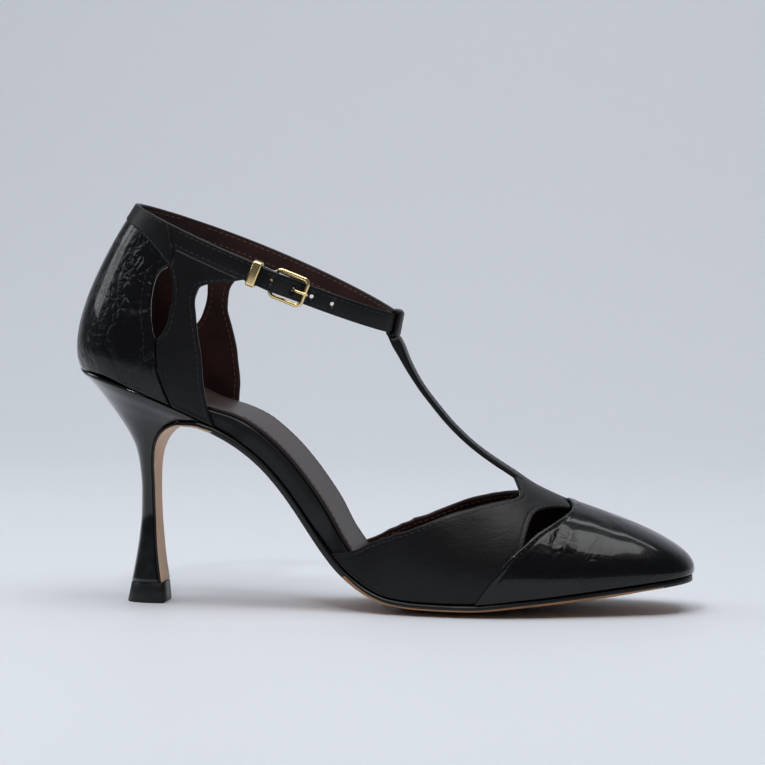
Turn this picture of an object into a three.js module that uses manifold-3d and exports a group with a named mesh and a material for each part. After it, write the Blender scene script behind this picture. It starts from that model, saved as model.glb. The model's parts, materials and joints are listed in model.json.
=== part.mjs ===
// A right T-strap pump on a tall spool heel, in millimetres.
// X runs from the back of the heel to the toe, +Y points to the inner side of the foot and Z up from the floor.
import * as THREE from "three";
import Module from "manifold-3d";

const wasm = await Module();
wasm.setup();

// Last and sole
const shoeLength = 240; // back of the seat to the tip of the toe
const seatHeight = 92.4; // feather line at the back of the heel
const seatHalf = 26; // half width of the heel seat
const seatLength = 51; // length of the heel's own seat
const heelRounding = 27; // length over which the back of the outline closes
const waistOuter = 23.8; // outer half width at the waist
const waistInner = 18.2; // inner half width at the waist
const ballHalf = 36.8; // half width across the ball
const toeHalf = 20.5; // half width just behind the soft square toe
const toeRounding = 16; // length over which the toe closes
const featherHeight = 4.7; // feather line at the ball
const toeSpring = 9.5; // rise of the feather line from ball to toe
const soleThickness = 2.3;
const soleCrown = 2.8; // how far the middle of the sole hangs below its edges at the ball
const edgeBevel = 0.7; // inward slope of the sole's side
const flapThickness = 1.3; // sole leather on the breast of the heel
const boardSeat = 4.6; // insole board under the heel
const boardWaist = 7.6; // its visible side at the waist
const boardBall = 2.6;
const boardRound = 0.9; // bevel round its upper edge
const sockThickness = 1.2;
const sockRound = 0.5;
const upperWall = 1.8;
const capStep = 0.5; // the toe cap stands proud of the vamp
const instepHeight = 60; // of the forepart's ridge, at two thirds of the length
const gap = 0.3; // between pieces that meet
const seatLift = 0.42; // of the upper and the board off the sole and the heel

// Heel
const tipHeight = 8;
const tipHalf = 7.5;
const neckHalf = 5.5;

// Ankle loop, measured at its top outer edge
const loopBack = 22.6; // where it passes the back of the heel
const loopLength = 104;
const loopHalf = 25;
const loopBackHeight = 156.7;
const loopFall = 43; // drop from back to front
const strapLean = 22; // degrees the strap's face leans out at its lower edge, half way round
const leanSwing = 11; // more at the back and less at the front, by this
const outerSag = 1.7; // the outer side hangs lower
const innerLift = 2.4; // the inner side arches
const strapWidth = 7.8;
const strapThickness = 1.6;
const billetThickness = 1.8;

// Fastening, lengths along the loop from its front centre
const frontBarAt = 44.5;
const buckleLength = 13; // between the middles of the front and rear bars
const buckleHalf = 5.3; // across, to the middle of the side bars
const wireRadius = 0.8;
const frameCorner = 2.2; // radius of the frame's corners
const prongRadius = 0.55;
const keeperAt = 65;
const keeperWidth = 3.4;
const keeperWall = 0.9;

// T-strap
const stemHalf = 4.6;
const stemThickness = 1.9;
const loopWall = 1.2;

const mix = (a, b, t) => a + (b - a) * t;
const clamp = THREE.MathUtils.clamp;
const smooth = (t) => THREE.MathUtils.smoothstep(t, 0, 1);
const degrees = THREE.MathUtils.degToRad;

// Smooth curve through the named column of a table, with no overshoot between rows.
function column(rows, name, key = "at") {
  const n = rows.length;
  const x = rows.map((r) => r[key]);
  const y = rows.map((r) => r[name]);
  const step = x.slice(1).map((v, i) => (y[i + 1] - y[i]) / (v - x[i]));
  const slope = x.map((_, i) => {
    if (i === 0) return step[0];
    if (i === n - 1) return step[n - 2];
    if (step[i - 1] * step[i] <= 0) return 0;
    return (2 * step[i - 1] * step[i]) / (step[i - 1] + step[i]);
  });
  return (at) => {
    const t = clamp(at, x[0], x[n - 1]);
    let i = 0;
    while (i < n - 2 && t > x[i + 1]) i++;
    const w = x[i + 1] - x[i];
    const s = (t - x[i]) / w;
    const a = (1 + 2 * s) * (1 - s) ** 2 * y[i] + s * (1 - s) ** 2 * w * slope[i];
    const b = s * s * (3 - 2 * s) * y[i + 1] + s * s * (s - 1) * w * slope[i + 1];
    return a + b;
  };
}

// Outline of the sole, seen from above: at is a share of the length
const outlineRows = [
  { at: 0.0, outer: 1.0 * seatHalf, inner: 1.0 * seatHalf },
  { at: 0.125, outer: 1.01 * seatHalf, inner: 1.0 * seatHalf },
  { at: 0.2375, outer: 0.985 * seatHalf, inner: 0.9 * seatHalf },
  { at: 0.31, outer: 1.02 * waistOuter, inner: 1.08 * waistInner },
  { at: 0.39, outer: 1.0 * waistOuter, inner: 1.0 * waistInner },
  { at: 0.458, outer: 1.11 * waistOuter, inner: 1.17 * waistInner },
  { at: 0.52, outer: 0.84 * ballHalf, inner: 0.74 * ballHalf },
  { at: 0.583, outer: 0.94 * ballHalf, inner: 0.89 * ballHalf },
  { at: 0.646, outer: 1.0 * ballHalf, inner: 0.98 * ballHalf },
  { at: 0.7, outer: 0.99 * ballHalf, inner: 1.0 * ballHalf },
  { at: 0.77, outer: 0.915 * ballHalf, inner: 0.955 * ballHalf },
  { at: 0.833, outer: 0.8 * ballHalf, inner: 0.86 * ballHalf },
  { at: 0.896, outer: 1.22 * toeHalf, inner: 1.32 * toeHalf },
  { at: 0.958, outer: 0.96 * toeHalf, inner: 1.05 * toeHalf },
  { at: 1.0, outer: 0.8 * toeHalf, inner: 0.88 * toeHalf },
];
const outerHalf = column(outlineRows, "outer");
const innerHalf = column(outlineRows, "inner");

// Half width at x on one side: side is -1 outer, +1 inner
function halfWidth(x, side) {
  const body = (side < 0 ? outerHalf : innerHalf)(x / shoeLength);
  const back = clamp(1 - x / heelRounding, 0, 1);
  const front = clamp((x - shoeLength + toeRounding) / toeRounding, 0, 1);
  return body * Math.sqrt(1 - back ** 2) * (1 - front ** 2.5) ** 0.4;
}

// Feather line from the side: rise is a share of the seat's height, spring of the toe spring
const featherRows = [
  { at: 0.0, rise: 1.0, spring: 0 },
  { at: 0.054, rise: 0.97, spring: 0 },
  { at: 0.104, rise: 0.913, spring: 0 },
  { at: 0.165, rise: 0.842, spring: 0 },
  { at: 0.2125, rise: 0.782, spring: 0 },
  { at: 0.2375, rise: 0.75, spring: 0 },
  { at: 0.266, rise: 0.708, spring: 0 },
  { at: 0.2925, rise: 0.658, spring: 0 },
  { at: 0.321, rise: 0.59, spring: 0 },
  { at: 0.35, rise: 0.5, spring: 0 },
  { at: 0.375, rise: 0.406, spring: 0 },
  { at: 0.4, rise: 0.303, spring: 0 },
  { at: 0.421, rise: 0.221, spring: 0 },
  { at: 0.445, rise: 0.143, spring: 0 },
  { at: 0.471, rise: 0.083, spring: 0 },
  { at: 0.496, rise: 0.043, spring: 0 },
  { at: 0.525, rise: 0.016, spring: 0 },
  { at: 0.567, rise: 0.003, spring: 0 },
  { at: 0.617, rise: 0.0, spring: 0 },
  { at: 0.654, rise: 0.0, spring: 0.0 },
  { at: 0.742, rise: 0.0, spring: 0.2 },
  { at: 0.817, rise: 0.0, spring: 0.41 },
  { at: 0.892, rise: 0.0, spring: 0.65 },
  { at: 0.967, rise: 0.0, spring: 0.9 },
  { at: 1.0, rise: 0.0, spring: 1.0 },
];
const riseAt = column(featherRows, "rise");
const springAt = column(featherRows, "spring");

function featherZ(x) {
  const at = x / shoeLength;
  return featherHeight + riseAt(at) * (seatHeight - featherHeight) + springAt(at) * toeSpring;
}

// Unit vector square to the feather line, pointing up into the shoe
function featherNormal(x) {
  const d = 0.5;
  const slope = (featherZ(x + d) - featherZ(x - d)) / (2 * d);
  return new THREE.Vector3(-slope, 0, 1).normalize();
}

// What changes along the stack of sole, board and sock: crown is a share of the sole's crown,
// board the thickness, inset how far the board's edge lies inside the outline
const boardInset = upperWall + gap;
const waistInset = 0.8;
const stackRows = [
  { at: 0.0, crown: 0, board: boardSeat, inset: boardInset },
  { at: 0.2, crown: 0, board: boardSeat, inset: boardInset },
  { at: 0.26, crown: 0, board: mix(boardSeat, boardWaist, 0.8), inset: boardInset },
  { at: 0.285, crown: 0, board: boardWaist, inset: waistInset },
  { at: 0.385, crown: 0, board: boardWaist, inset: waistInset },
  { at: 0.418, crown: 0.1, board: mix(boardBall, boardWaist, 0.75), inset: 1.2 * boardInset },
  { at: 0.48, crown: 0.5, board: mix(boardBall, boardWaist, 0.35), inset: 1.15 * boardInset },
  { at: 0.56, crown: 0.95, board: boardBall, inset: boardInset },
  { at: 0.62, crown: 1.0, board: boardBall, inset: boardInset },
  { at: 0.8, crown: 0.9, board: boardBall, inset: boardInset },
  { at: 1.0, crown: 0.4, board: boardBall, inset: boardInset },
];
const crownShare = column(stackRows, "crown");
const boardAt = column(stackRows, "board");
const insetAt = column(stackRows, "inset");

// How far the middle of the sole hangs at x; it fades out where the outline closes
function crownAt(x) {
  const fade = smooth(Math.min(x, shoeLength - x) / heelRounding);
  return crownShare(x / shoeLength) * soleCrown * fade;
}

// Stations along the shoe shared by the sole, board and sock, closer together where the outline turns
const breastStart = seatLength + 6; // the flap of the sole leaves the feather line here
const seatStations = [0, 0.015, 0.06, 0.15, 0.28, 0.46, 0.72].map((share) => share * breastStart);
const soleStations = Array.from({ length: 27 }, (_, k) => {
  const share = Math.sin(((k / 26) * Math.PI) / 2) ** 0.95;
  return breastStart + (shoeLength - breastStart) * share;
});

// Solids

function finish(positions, index) {
  const geometry = new THREE.BufferGeometry();
  const flat = positions.flatMap((p) => [p.x, p.y, p.z]);
  let volume = 0;
  for (let i = 0; i < index.length; i += 3) {
    const [a, b, c] = [positions[index[i]], positions[index[i + 1]], positions[index[i + 2]]];
    volume += a.dot(new THREE.Vector3().crossVectors(b, c));
  }
  if (volume < 0) {
    for (let i = 0; i < index.length; i += 3) [index[i], index[i + 1]] = [index[i + 1], index[i]];
  }
  geometry.setAttribute("position", new THREE.Float32BufferAttribute(flat, 3));
  geometry.setIndex(index);
  return geometry;
}

// Gathers points, giving points closer than a thousandth of a millimetre one number
function pointBook() {
  const points = [];
  const seen = new Map();
  const number = (p) => {
    const key = [p.x, p.y, p.z].map((v) => Math.round(v * 500)).join();
    if (!seen.has(key)) {
      seen.set(key, points.length);
      points.push(p.clone());
    }
    return seen.get(key);
  };
  return { points, number };
}

function addTriangle(index, a, b, c) {
  if (a !== b && b !== c && c !== a) index.push(a, b, c);
}

function addQuad(index, a, b, c, d) {
  addTriangle(index, a, b, c);
  addTriangle(index, a, c, d);
}

// Closed solid through rings of equal count. An end is closed by strips between point i and its partner count - 1 - i.
function loft(rings, closed = false) {
  const { points, number } = pointBook();
  const ids = rings.map((ring) => ring.map(number));
  const index = [];
  const n = rings[0].length;
  const last = closed ? rings.length : rings.length - 1;
  for (let r = 0; r < last; r++) {
    const [a, b] = [ids[r], ids[(r + 1) % rings.length]];
    for (let i = 0; i < n; i++) addQuad(index, a[i], a[(i + 1) % n], b[(i + 1) % n], b[i]);
  }
  const cap = (ring, flip) => {
    for (let i = 0; i < Math.floor(n / 2) - (n % 2 ? 0 : 1); i++) {
      const quad = [ring[i], ring[n - 1 - i], ring[n - 2 - i], ring[i + 1]];
      addQuad(index, ...(flip ? quad.reverse() : quad));
    }
  };
  if (!closed) {
    cap(ids[0], false);
    cap(ids[rings.length - 1], true);
  }
  return finish(points, index);
}

// Turns a patch's faces away from the middle of the shoe
function faceOut(points, faces) {
  const core = new THREE.Vector3();
  for (const p of points) core.addScaledVector(p, 1 / points.length);
  core.y = 0;
  let facing = 0;
  for (let f = 0; f < faces.length; f += 3) {
    const [a, b, c] = [points[faces[f]], points[faces[f + 1]], points[faces[f + 2]]];
    facing += b.clone().sub(a).cross(c.clone().sub(a)).dot(a.clone().sub(core));
  }
  if (facing < 0) faces.reverse();
}

// Closed shell of one wall under patches of surface points, standing proud of them by a step.
// Patches that share points are welded.
function shell(patches, wall, proud = 0) {
  const { points, number } = pointBook();
  const faces = [];
  for (const rows of patches) {
    const ids = rows.map((row) => row.map(number));
    for (let r = 0; r < ids.length - 1; r++) {
      for (let i = 0; i < ids[r].length - 1; i++) {
        addQuad(faces, ids[r][i], ids[r][i + 1], ids[r + 1][i + 1], ids[r + 1][i]);
      }
    }
  }
  faceOut(points, faces);
  const normals = points.map(() => new THREE.Vector3());
  const edges = new Map();
  for (let f = 0; f < faces.length; f += 3) {
    const tri = [faces[f], faces[f + 1], faces[f + 2]];
    const [a, b, c] = tri.map((i) => points[i]);
    const normal = b.clone().sub(a).cross(c.clone().sub(a));
    tri.forEach((i, k) => {
      const [p, q, r] = [points[i], points[tri[(k + 1) % 3]], points[tri[(k + 2) % 3]]];
      const angle = q.clone().sub(p).angleTo(r.clone().sub(p));
      normals[i].addScaledVector(normal.clone().normalize(), angle);
      const j = tri[(k + 1) % 3];
      edges.set(`${i},${j}`, [i, j]);
    });
  }
  const n = points.length;
  const moved = (distance) => points.map((p, i) => p.clone().addScaledVector(normals[i].normalize(), distance));
  const all = [...moved(proud), ...moved(-wall)];
  const index = [...faces];
  for (let f = 0; f < faces.length; f += 3) index.push(faces[f] + n, faces[f + 2] + n, faces[f + 1] + n);
  for (const [i, j] of edges.values()) {
    if (!edges.has(`${j},${i}`)) addQuad(index, i, i + n, j + n, j);
  }
  return finish(all, index);
}

function toManifold(geometry) {
  return new wasm.Manifold(
    new wasm.Mesh({
      numProp: 3,
      vertProperties: new Float32Array(geometry.attributes.position.array),
      triVerts: new Uint32Array(geometry.index.array),
    }),
  );
}

function fromManifold(manifold) {
  const mesh = manifold.getMesh();
  const geometry = new THREE.BufferGeometry();
  geometry.setAttribute("position", new THREE.Float32BufferAttribute(mesh.vertProperties, 3));
  geometry.setIndex([...mesh.triVerts]);
  return geometry;
}

const join = (first, ...others) => fromManifold(others.reduce((m, g) => m.add(toManifold(g)), toManifold(first)));
const cut = (first, ...others) => fromManifold(others.reduce((m, g) => m.subtract(toManifold(g)), toManifold(first)));

const range = (n) => Array.from({ length: n + 1 }, (_, i) => i / n);

// Outsole with its flap on the heel's breast, and the heel
// The breast line is the outer face of the flap; the back line is the heel's own back.
// Heights are shares of the seat's height, lengths shares of the seat's length.
const heelRows = [
  { back: 0.018, backZ: 0.981, front: 1.0, frontZ: 0.76, half: 0.985 * seatHalf, round: 0.54, bow: 1.4 },
  { back: 0.06, backZ: 0.962, front: 0.94, frontZ: 0.764, half: 0.94 * seatHalf, round: 0.56, bow: 0.9 },
  { back: 0.135, backZ: 0.915, front: 0.845, frontZ: 0.764, half: 0.82 * seatHalf, round: 0.62, bow: 0.4 },
  { back: 0.22, backZ: 0.853, front: 0.752, frontZ: 0.75, half: 0.66 * seatHalf, round: 0.68, bow: 0 },
  { back: 0.306, backZ: 0.786, front: 0.678, frontZ: 0.72, half: 0.52 * seatHalf, round: 0.74, bow: 0 },
  { back: 0.38, backZ: 0.721, front: 0.631, frontZ: 0.677, half: 0.405 * seatHalf, round: 0.78, bow: 0 },
  { back: 0.43, backZ: 0.66, front: 0.609, frontZ: 0.625, half: 1.48 * neckHalf, round: 0.82, bow: 0 },
  { back: 0.458, backZ: 0.58, front: 0.602, frontZ: 0.56, half: 1.2 * neckHalf, round: 0.86, bow: 0 },
  { back: 0.471, backZ: 0.48, front: 0.603, frontZ: 0.475, half: 1.02 * neckHalf, round: 0.88, bow: 0 },
  { back: 0.469, backZ: 0.385, front: 0.608, frontZ: 0.385, half: 1.0 * neckHalf, round: 0.88, bow: 0 },
  { back: 0.451, backZ: 0.285, front: 0.617, frontZ: 0.285, half: 0.84 * tipHalf, round: 0.86, bow: 0 },
  { back: 0.424, backZ: 0.19, front: 0.631, frontZ: 0.19, half: 0.91 * tipHalf, round: 0.82, bow: 0 },
].map((r) => ({
  ...r,
  back: r.back * seatLength,
  backZ: r.backZ * seatHeight,
  front: r.front * seatLength,
  frontZ: r.frontZ * seatHeight,
}));
const tipTop = { back: 0.388 * seatLength, front: 0.655 * seatLength, half: tipHalf, round: 0.8 };
const tipFoot = { back: 0.355 * seatLength, front: 0.667 * seatLength, half: 1.02 * tipHalf, round: 0.8 };

// One D-shaped ring: outer front corner, round the back, inner front corner
function heelRing(row, count = 9) {
  const side = (sign) =>
    range(count).map((k) => {
      const c = 1 - Math.cos((k * Math.PI) / 2);
      const wide = Math.sqrt(1 - clamp(1 - c / row.round, 0, 1) ** 2);
      const x = mix(row.back, row.front, c);
      const z = mix(row.backZ, row.frontZ, c) + row.bow * 4 * c * (1 - c);
      return new THREE.Vector3(x, sign * row.half * wide, z);
    });
  return [...side(-1).reverse(), ...side(1).slice(1)];
}

function breastPath() {
  const rows = [...heelRows, { front: tipTop.front, frontZ: tipHeight + gap, half: tipTop.half }];
  return rows.map((r) => ({ at: new THREE.Vector3(r.front, 0, r.frontZ), half: r.half }));
}

// Inward normals of the breast line, by its neighbours
function breastNormals(path) {
  return path.map((_, i) => {
    const a = path[Math.max(i - 1, 0)].at;
    const b = path[Math.min(i + 1, path.length - 1)].at;
    const t = b.clone().sub(a).normalize();
    return new THREE.Vector3(t.z, 0, -t.x);
  });
}

function makeHeel() {
  const path = breastPath();
  const normals = breastNormals(path);
  const seat = {
    back: 0,
    backZ: featherZ(0),
    front: seatLength,
    frontZ: featherZ(seatLength),
    half: seatHalf,
    round: heelRounding / seatLength,
    bow: featherZ(seatLength / 2) - (featherZ(0) + featherZ(seatLength)) / 2,
  };
  const rings = [heelRing(seat)];
  heelRows.forEach((row, i) => {
    const shift = normals[i].clone().multiplyScalar(mix(soleThickness, flapThickness, clamp(i / 3, 0, 1)) + gap);
    rings.push(heelRing({ ...row, front: row.front + shift.x, frontZ: row.frontZ + shift.z }));
  });
  const foot = { ...tipTop, backZ: tipHeight + gap, frontZ: tipHeight + gap, bow: 0 };
  rings.push(heelRing({ ...foot, front: foot.front - flapThickness - gap }));
  return loft(rings);
}

function makeHeelTip() {
  const top = heelRing({ ...tipTop, backZ: tipHeight, frontZ: tipHeight, bow: 0 });
  const foot = heelRing({ ...tipFoot, backZ: 0, frontZ: 0, bow: 0 });
  return loft([top, foot]);
}

// One ring of the sole: across the under side, then back across the upper side
const acrossSole = [-1, -0.93, -0.62, -0.22, 0.22, 0.62, 0.93, 1]; // the middle strip stands flat on the floor
function soleRing(under, upper, outer, inner, crown, bevel) {
  const point = (base, c, inset) => {
    const half = Math.max((c < 0 ? outer : inner) - inset, 0);
    const z = base.z - crown * (1 - Math.abs(c) ** 2.2);
    return new THREE.Vector3(base.x, c * half, Math.max(z, 0));
  };
  const low = acrossSole.map((c) => point(under, c, bevel));
  const high = acrossSole.map((c) => point(upper, c, 0)).reverse();
  return [...low, ...high];
}

function makeOutsole() {
  const rings = [];
  const path = breastPath();
  const normals = breastNormals(path);
  path.forEach((row, i) => {
    const t = mix(soleThickness, flapThickness, clamp(i / 3, 0, 1));
    const upper = row.at.clone().addScaledVector(normals[i], t);
    rings.unshift(soleRing(row.at, upper, row.half, row.half, 0, 0));
  });
  for (const x of soleStations) {
    const base = new THREE.Vector3(x, 0, featherZ(x));
    const under = base.clone().addScaledVector(featherNormal(x), -soleThickness);
    rings.push(soleRing(under, base, halfWidth(x, -1), halfWidth(x, 1), crownAt(x), edgeBevel));
  }
  return loft(rings);
}

// A point of the outline moved inwards by an inset, along the shoe and across
function insetOutline(x, side, inset) {
  const toeStart = shoeLength - toeRounding;
  const body = (side < 0 ? outerHalf : innerHalf)(x / shoeLength);
  let along = x;
  if (x < heelRounding) along = mix(heelRounding, x, 1 - inset / heelRounding);
  if (x > toeStart) along = mix(toeStart, x, 1 - inset / toeRounding);
  return { x: along, y: side * halfWidth(x, side) * (1 - inset / body) };
}

// Insole board and sock: plates square to the feather line, between two heights above it
function makePlate(bottom, top, inset, round) {
  const across = [-1, -0.5, 0, 0.5, 1];
  const rings = [...seatStations, ...soleStations].map((x) => {
    const edge = inset(x / shoeLength);
    const crown = crownAt(x);
    const point = (height, c, extra) => {
      const spot = insetOutline(x, c < 0 ? -1 : 1, edge + extra);
      const p = new THREE.Vector3(spot.x, 0, featherZ(spot.x)).addScaledVector(featherNormal(spot.x), height);
      return new THREE.Vector3(p.x, Math.abs(c) * spot.y, p.z - crown * (1 - Math.abs(c) ** 2.2));
    };
    const low = across.map((c) => point(bottom(x / shoeLength), c, 0));
    const shoulder = (c) => point(top(x / shoeLength) - round, c, 0);
    const high = across.map((c) => point(top(x / shoeLength), c, round)).reverse();
    return [...low, shoulder(1), ...high, shoulder(-1)];
  });
  return loft(rings);
}

// Forepart surface: u runs from the outer rear (-1) round the toe (0) to the inner rear (1), v from the feather to the ridge
const foreRear = 0.425 * shoeLength; // where the forepart's wings end on the feather line
// Ridge over the middle of the foot: at is a share of the length, z of the instep's height
const ridgeRows = [
  { at: 0.45, z: 1.8 },
  { at: 0.5, z: 1.617 },
  { at: 0.542, z: 1.467 },
  { at: 0.583, z: 1.308 },
  { at: 0.625, z: 1.147 },
  { at: 0.667, z: 1.003 },
  { at: 0.696, z: 0.923 },
  { at: 0.725, z: 0.857 },
  { at: 0.752, z: 0.793 },
  { at: 0.792, z: 0.72 },
  { at: 0.817, z: 0.683 },
  { at: 0.846, z: 0.643 },
];
const ridgeShare = column(ridgeRows, "z");
const ridgeZ = (x) => instepHeight * ridgeShare(x / shoeLength);
// Ribs of the forepart: at is a share of the way from toe to wing. A rib meets the ridge at a share of the length,
// rises off the feather by a share of its height, bulges by a share of the ball and crests by a share of its reach.
const foreRows = [
  { at: 0, ridge: 0.8375, rise: 0.34, bulge: 0.098, crest: 0.52 },
  { at: 0.12, ridge: 0.829, rise: 0.36, bulge: 0.109, crest: 0.52 },
  { at: 0.3, ridge: 0.792, rise: 0.4, bulge: 0.149, crest: 0.55 },
  { at: 0.5, ridge: 0.729, rise: 0.42, bulge: 0.204, crest: 0.56 },
  { at: 0.7, ridge: 0.633, rise: 0.42, bulge: 0.217, crest: 0.56 },
  { at: 0.85, ridge: 0.558, rise: 0.4, bulge: 0.19, crest: 0.56 },
  { at: 1, ridge: 0.467, rise: 0.36, bulge: 0.136, crest: 0.56 },
];
const foreRidge = column(foreRows, "ridge");
const foreRise = column(foreRows, "rise");
const foreBulge = column(foreRows, "bulge");
const foreCrest = column(foreRows, "crest");

function edgeCurve(side, from, to, fine = 70) {
  const points = range(fine).map((k) => {
    const x = mix(from, to, 1 - Math.cos((k * Math.PI) / 2));
    return new THREE.Vector3(x, side * halfWidth(x, side), 0);
  });
  return new THREE.CatmullRomCurve3(points, false, "centripetal");
}
const foreEdge = { "-1": edgeCurve(-1, shoeLength, foreRear), 1: edgeCurve(1, shoeLength, foreRear) };
for (const c of Object.values(foreEdge)) c.arcLengthDivisions = 600;

function bezier(p0, p1, p2, p3, t) {
  return new THREE.CubicBezierCurve3(p0, p1, p2, p3).getPoint(t);
}

function fore(u, v) {
  const side = u < 0 ? -1 : 1;
  const a = Math.min(Math.abs(u), 1);
  const p0 = foreEdge[side].getPointAt(a);
  const along = foreEdge[side].getTangentAt(a);
  const out = new THREE.Vector3(-along.y, along.x, 0).multiplyScalar(-side);
  p0.z = featherZ(p0.x) + seatLift;
  const rx = foreRidge(a) * shoeLength;
  const p3 = new THREE.Vector3(rx, 0, ridgeZ(rx));
  const slope = (ridgeZ(rx + 1) - ridgeZ(rx - 1)) / 2;
  const reach = p0.clone().sub(p3).setZ(0);
  const p1 = p0.clone().addScaledVector(featherNormal(p0.x), foreRise(a) * (p3.z - p0.z)).addScaledVector(out, foreBulge(a) * ballHalf);
  const p2 = p3.clone().addScaledVector(reach, foreCrest(a));
  p2.z += slope * reach.x * foreCrest(a);
  return bezier(p0, p1, p2, p3, v);
}

// Ankle loop: theta is 0 at the back, 90 on the inner side, 180 at the front and 270 on the outer side
const loopCentre = loopBack + loopLength / 2;
function loopPoint(theta) {
  const x = loopCentre - (loopLength / 2) * Math.cos(theta);
  const side = Math.sin(theta);
  const bend = side > 0 ? innerLift : -outerSag;
  const z = loopBackHeight - (loopFall * (x - loopBack)) / loopLength + bend * side ** 2;
  return new THREE.Vector3(x, loopHalf * side, z);
}

// down runs in the strap's face towards its lower edge, out away from the ankle, ahead along the loop with theta
function loopFrame(theta) {
  const d = 0.002;
  const ahead = loopPoint(theta + d).sub(loopPoint(theta - d)).normalize();
  const tilt = degrees(strapLean + leanSwing * Math.cos(theta));
  const down = new THREE.Vector3(-Math.sin(tilt), 0, -Math.cos(tilt));
  down.addScaledVector(ahead, -down.dot(ahead)).normalize();
  const out = new THREE.Vector3().crossVectors(ahead, down).normalize();
  if (out.dot(loopPoint(theta).sub(new THREE.Vector3(loopCentre, 0, 0)).setZ(0)) < 0) out.negate();
  return { at: loopPoint(theta), ahead, down, out };
}

// Length along the loop from its front centre, towards the outer side
const loopSteps = 720;
const loopTable = [0];
for (let i = 1; i <= loopSteps; i++) {
  const a = Math.PI + ((i - 1) / loopSteps) * Math.PI;
  const b = Math.PI + (i / loopSteps) * Math.PI;
  loopTable.push(loopTable[i - 1] + loopPoint(a).distanceTo(loopPoint(b)));
}
function thetaAt(length) {
  const l = Math.abs(length);
  let i = 1;
  while (i < loopSteps && loopTable[i] < l) i++;
  const t = (i - 1 + (l - loopTable[i - 1]) / (loopTable[i] - loopTable[i - 1])) / loopSteps;
  return Math.PI + Math.sign(length) * t * Math.PI;
}

// Point at a length along the loop, a depth below its top edge and a height out of its outer face
function onLoop(length, depth, height) {
  const f = loopFrame(thetaAt(length));
  return f.at.addScaledVector(f.down, depth).addScaledVector(f.out, height);
}

// Rear surface: s runs from the outer front (-1) round the back (0) to the inner front (1).
// t runs from the feather (0) to the strap's lower edge (1) and on to its upper edge (2).
const rearFoot = 0.267 * shoeLength; // how far forward the surface reaches on the feather line
const rearTop = loopBack + 0.533 * loopLength; // and under the strap
const rearEdge = { "-1": edgeCurve(-1, 0, rearFoot), 1: edgeCurve(1, 0, rearFoot) };
for (const c of Object.values(rearEdge)) c.arcLengthDivisions = 600;
// Ribs of the rear: rise and tuck are shares of the height from seat to topline, bulge of the seat's half width
const rearHeight = loopBackHeight - seatHeight;
const rearRows = [
  { at: 0, rise: 0.218, bulge: 0.231, tuck: 0.264 },
  { at: 0.3, rise: 0.28, bulge: 0.212, tuck: 0.28 },
  { at: 0.6, rise: 0.342, bulge: 0.173, tuck: 0.311 },
  { at: 1, rise: 0.342, bulge: 0.096, tuck: 0.311 },
];
const rearRise = column(rearRows, "rise");
const rearBulge = column(rearRows, "bulge");
const rearTuck = column(rearRows, "tuck");
const rearSweep = Math.acos((loopCentre - rearTop) / (loopLength / 2));

function rear(s, t) {
  const side = s < 0 ? -1 : 1;
  const a = Math.min(Math.abs(s), 1);
  const p0 = rearEdge[side].getPointAt(a);
  const along = rearEdge[side].getTangentAt(a);
  const out = new THREE.Vector3(along.y, -along.x, 0).multiplyScalar(-side);
  p0.z = featherZ(p0.x) + seatLift;
  const f = loopFrame(side > 0 ? rearSweep * a : 2 * Math.PI - rearSweep * a);
  const p3 = f.at.clone().addScaledVector(f.down, strapWidth);
  if (t > 1) return p3.lerp(f.at, t - 1);
  const p1 = p0.clone().addScaledVector(out, rearBulge(a) * seatHalf);
  p1.z += rearRise(a) * rearHeight;
  const p2 = p3.clone().addScaledVector(f.down, rearTuck(a) * rearHeight);
  return bezier(p0, p1, p2, p3, t);
}

// Panels of the forepart. Each row pairs a point of the lower or front edge with one of the upper or rear edge,
// from the wing's tip to the ridge; u is a share of the way round, v a share of the way up.
const vampRows = [
  { lowU: 0.995, lowV: 0.006, highU: 0.99, highV: 0.024 },
  { lowU: 0.96, lowV: 0.005, highU: 0.965, highV: 0.09 },
  { lowU: 0.91, lowV: 0.003, highU: 0.925, highV: 0.168 },
  { lowU: 0.85, lowV: 0, highU: 0.865, highV: 0.226 },
  { lowU: 0.78, lowV: 0, highU: 0.79, highV: 0.284 },
  { lowU: 0.71, lowV: 0, highU: 0.72, highV: 0.366 },
  { lowU: 0.66, lowV: 0, highU: 0.67, highV: 0.44 },
  { lowU: 0.622, lowV: 0, highU: 0.632, highV: 0.499 },
  { lowU: 0.604, lowV: 0.05, highU: 0.61, highV: 0.535 },
  { lowU: 0.588, lowV: 0.098, highU: 0.592, highV: 0.562 },
  { lowU: 0.57, lowV: 0.152, highU: 0.576, highV: 0.588 },
  { lowU: 0.551, lowV: 0.209, highU: 0.56, highV: 0.612 },
  { lowU: 0.523, lowV: 0.291, highU: 0.54, highV: 0.642 },
  { lowU: 0.494, lowV: 0.366, highU: 0.524, highV: 0.67 },
  { lowU: 0.486, lowV: 0.44, highU: 0.513, highV: 0.7 },
  { lowU: 0.478, lowV: 0.515, highU: 0.508, highV: 0.732 },
  { lowU: 0.467, lowV: 0.585, highU: 0.508, highV: 0.766 },
  { lowU: 0.45, lowV: 0.642, highU: 0.513, highV: 0.802 },
  { lowU: 0.42, lowV: 0.7, highU: 0.52, highV: 0.845 },
  { lowU: 0.38, lowV: 0.748, highU: 0.527, highV: 0.89 },
  { lowU: 0.345, lowV: 0.78, highU: 0.532, highV: 0.925 },
  { lowU: 0.317, lowV: 0.805, highU: 0.535, highV: 0.955 },
  { lowU: 0.306, lowV: 0.89, highU: 0.537, highV: 0.98 },
  { lowU: 0.294, lowV: 1.0, highU: 0.538, highV: 1.0 },
];
const seamGap = 0.003; // the vamp stays clear of the cap by this share of u

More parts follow.
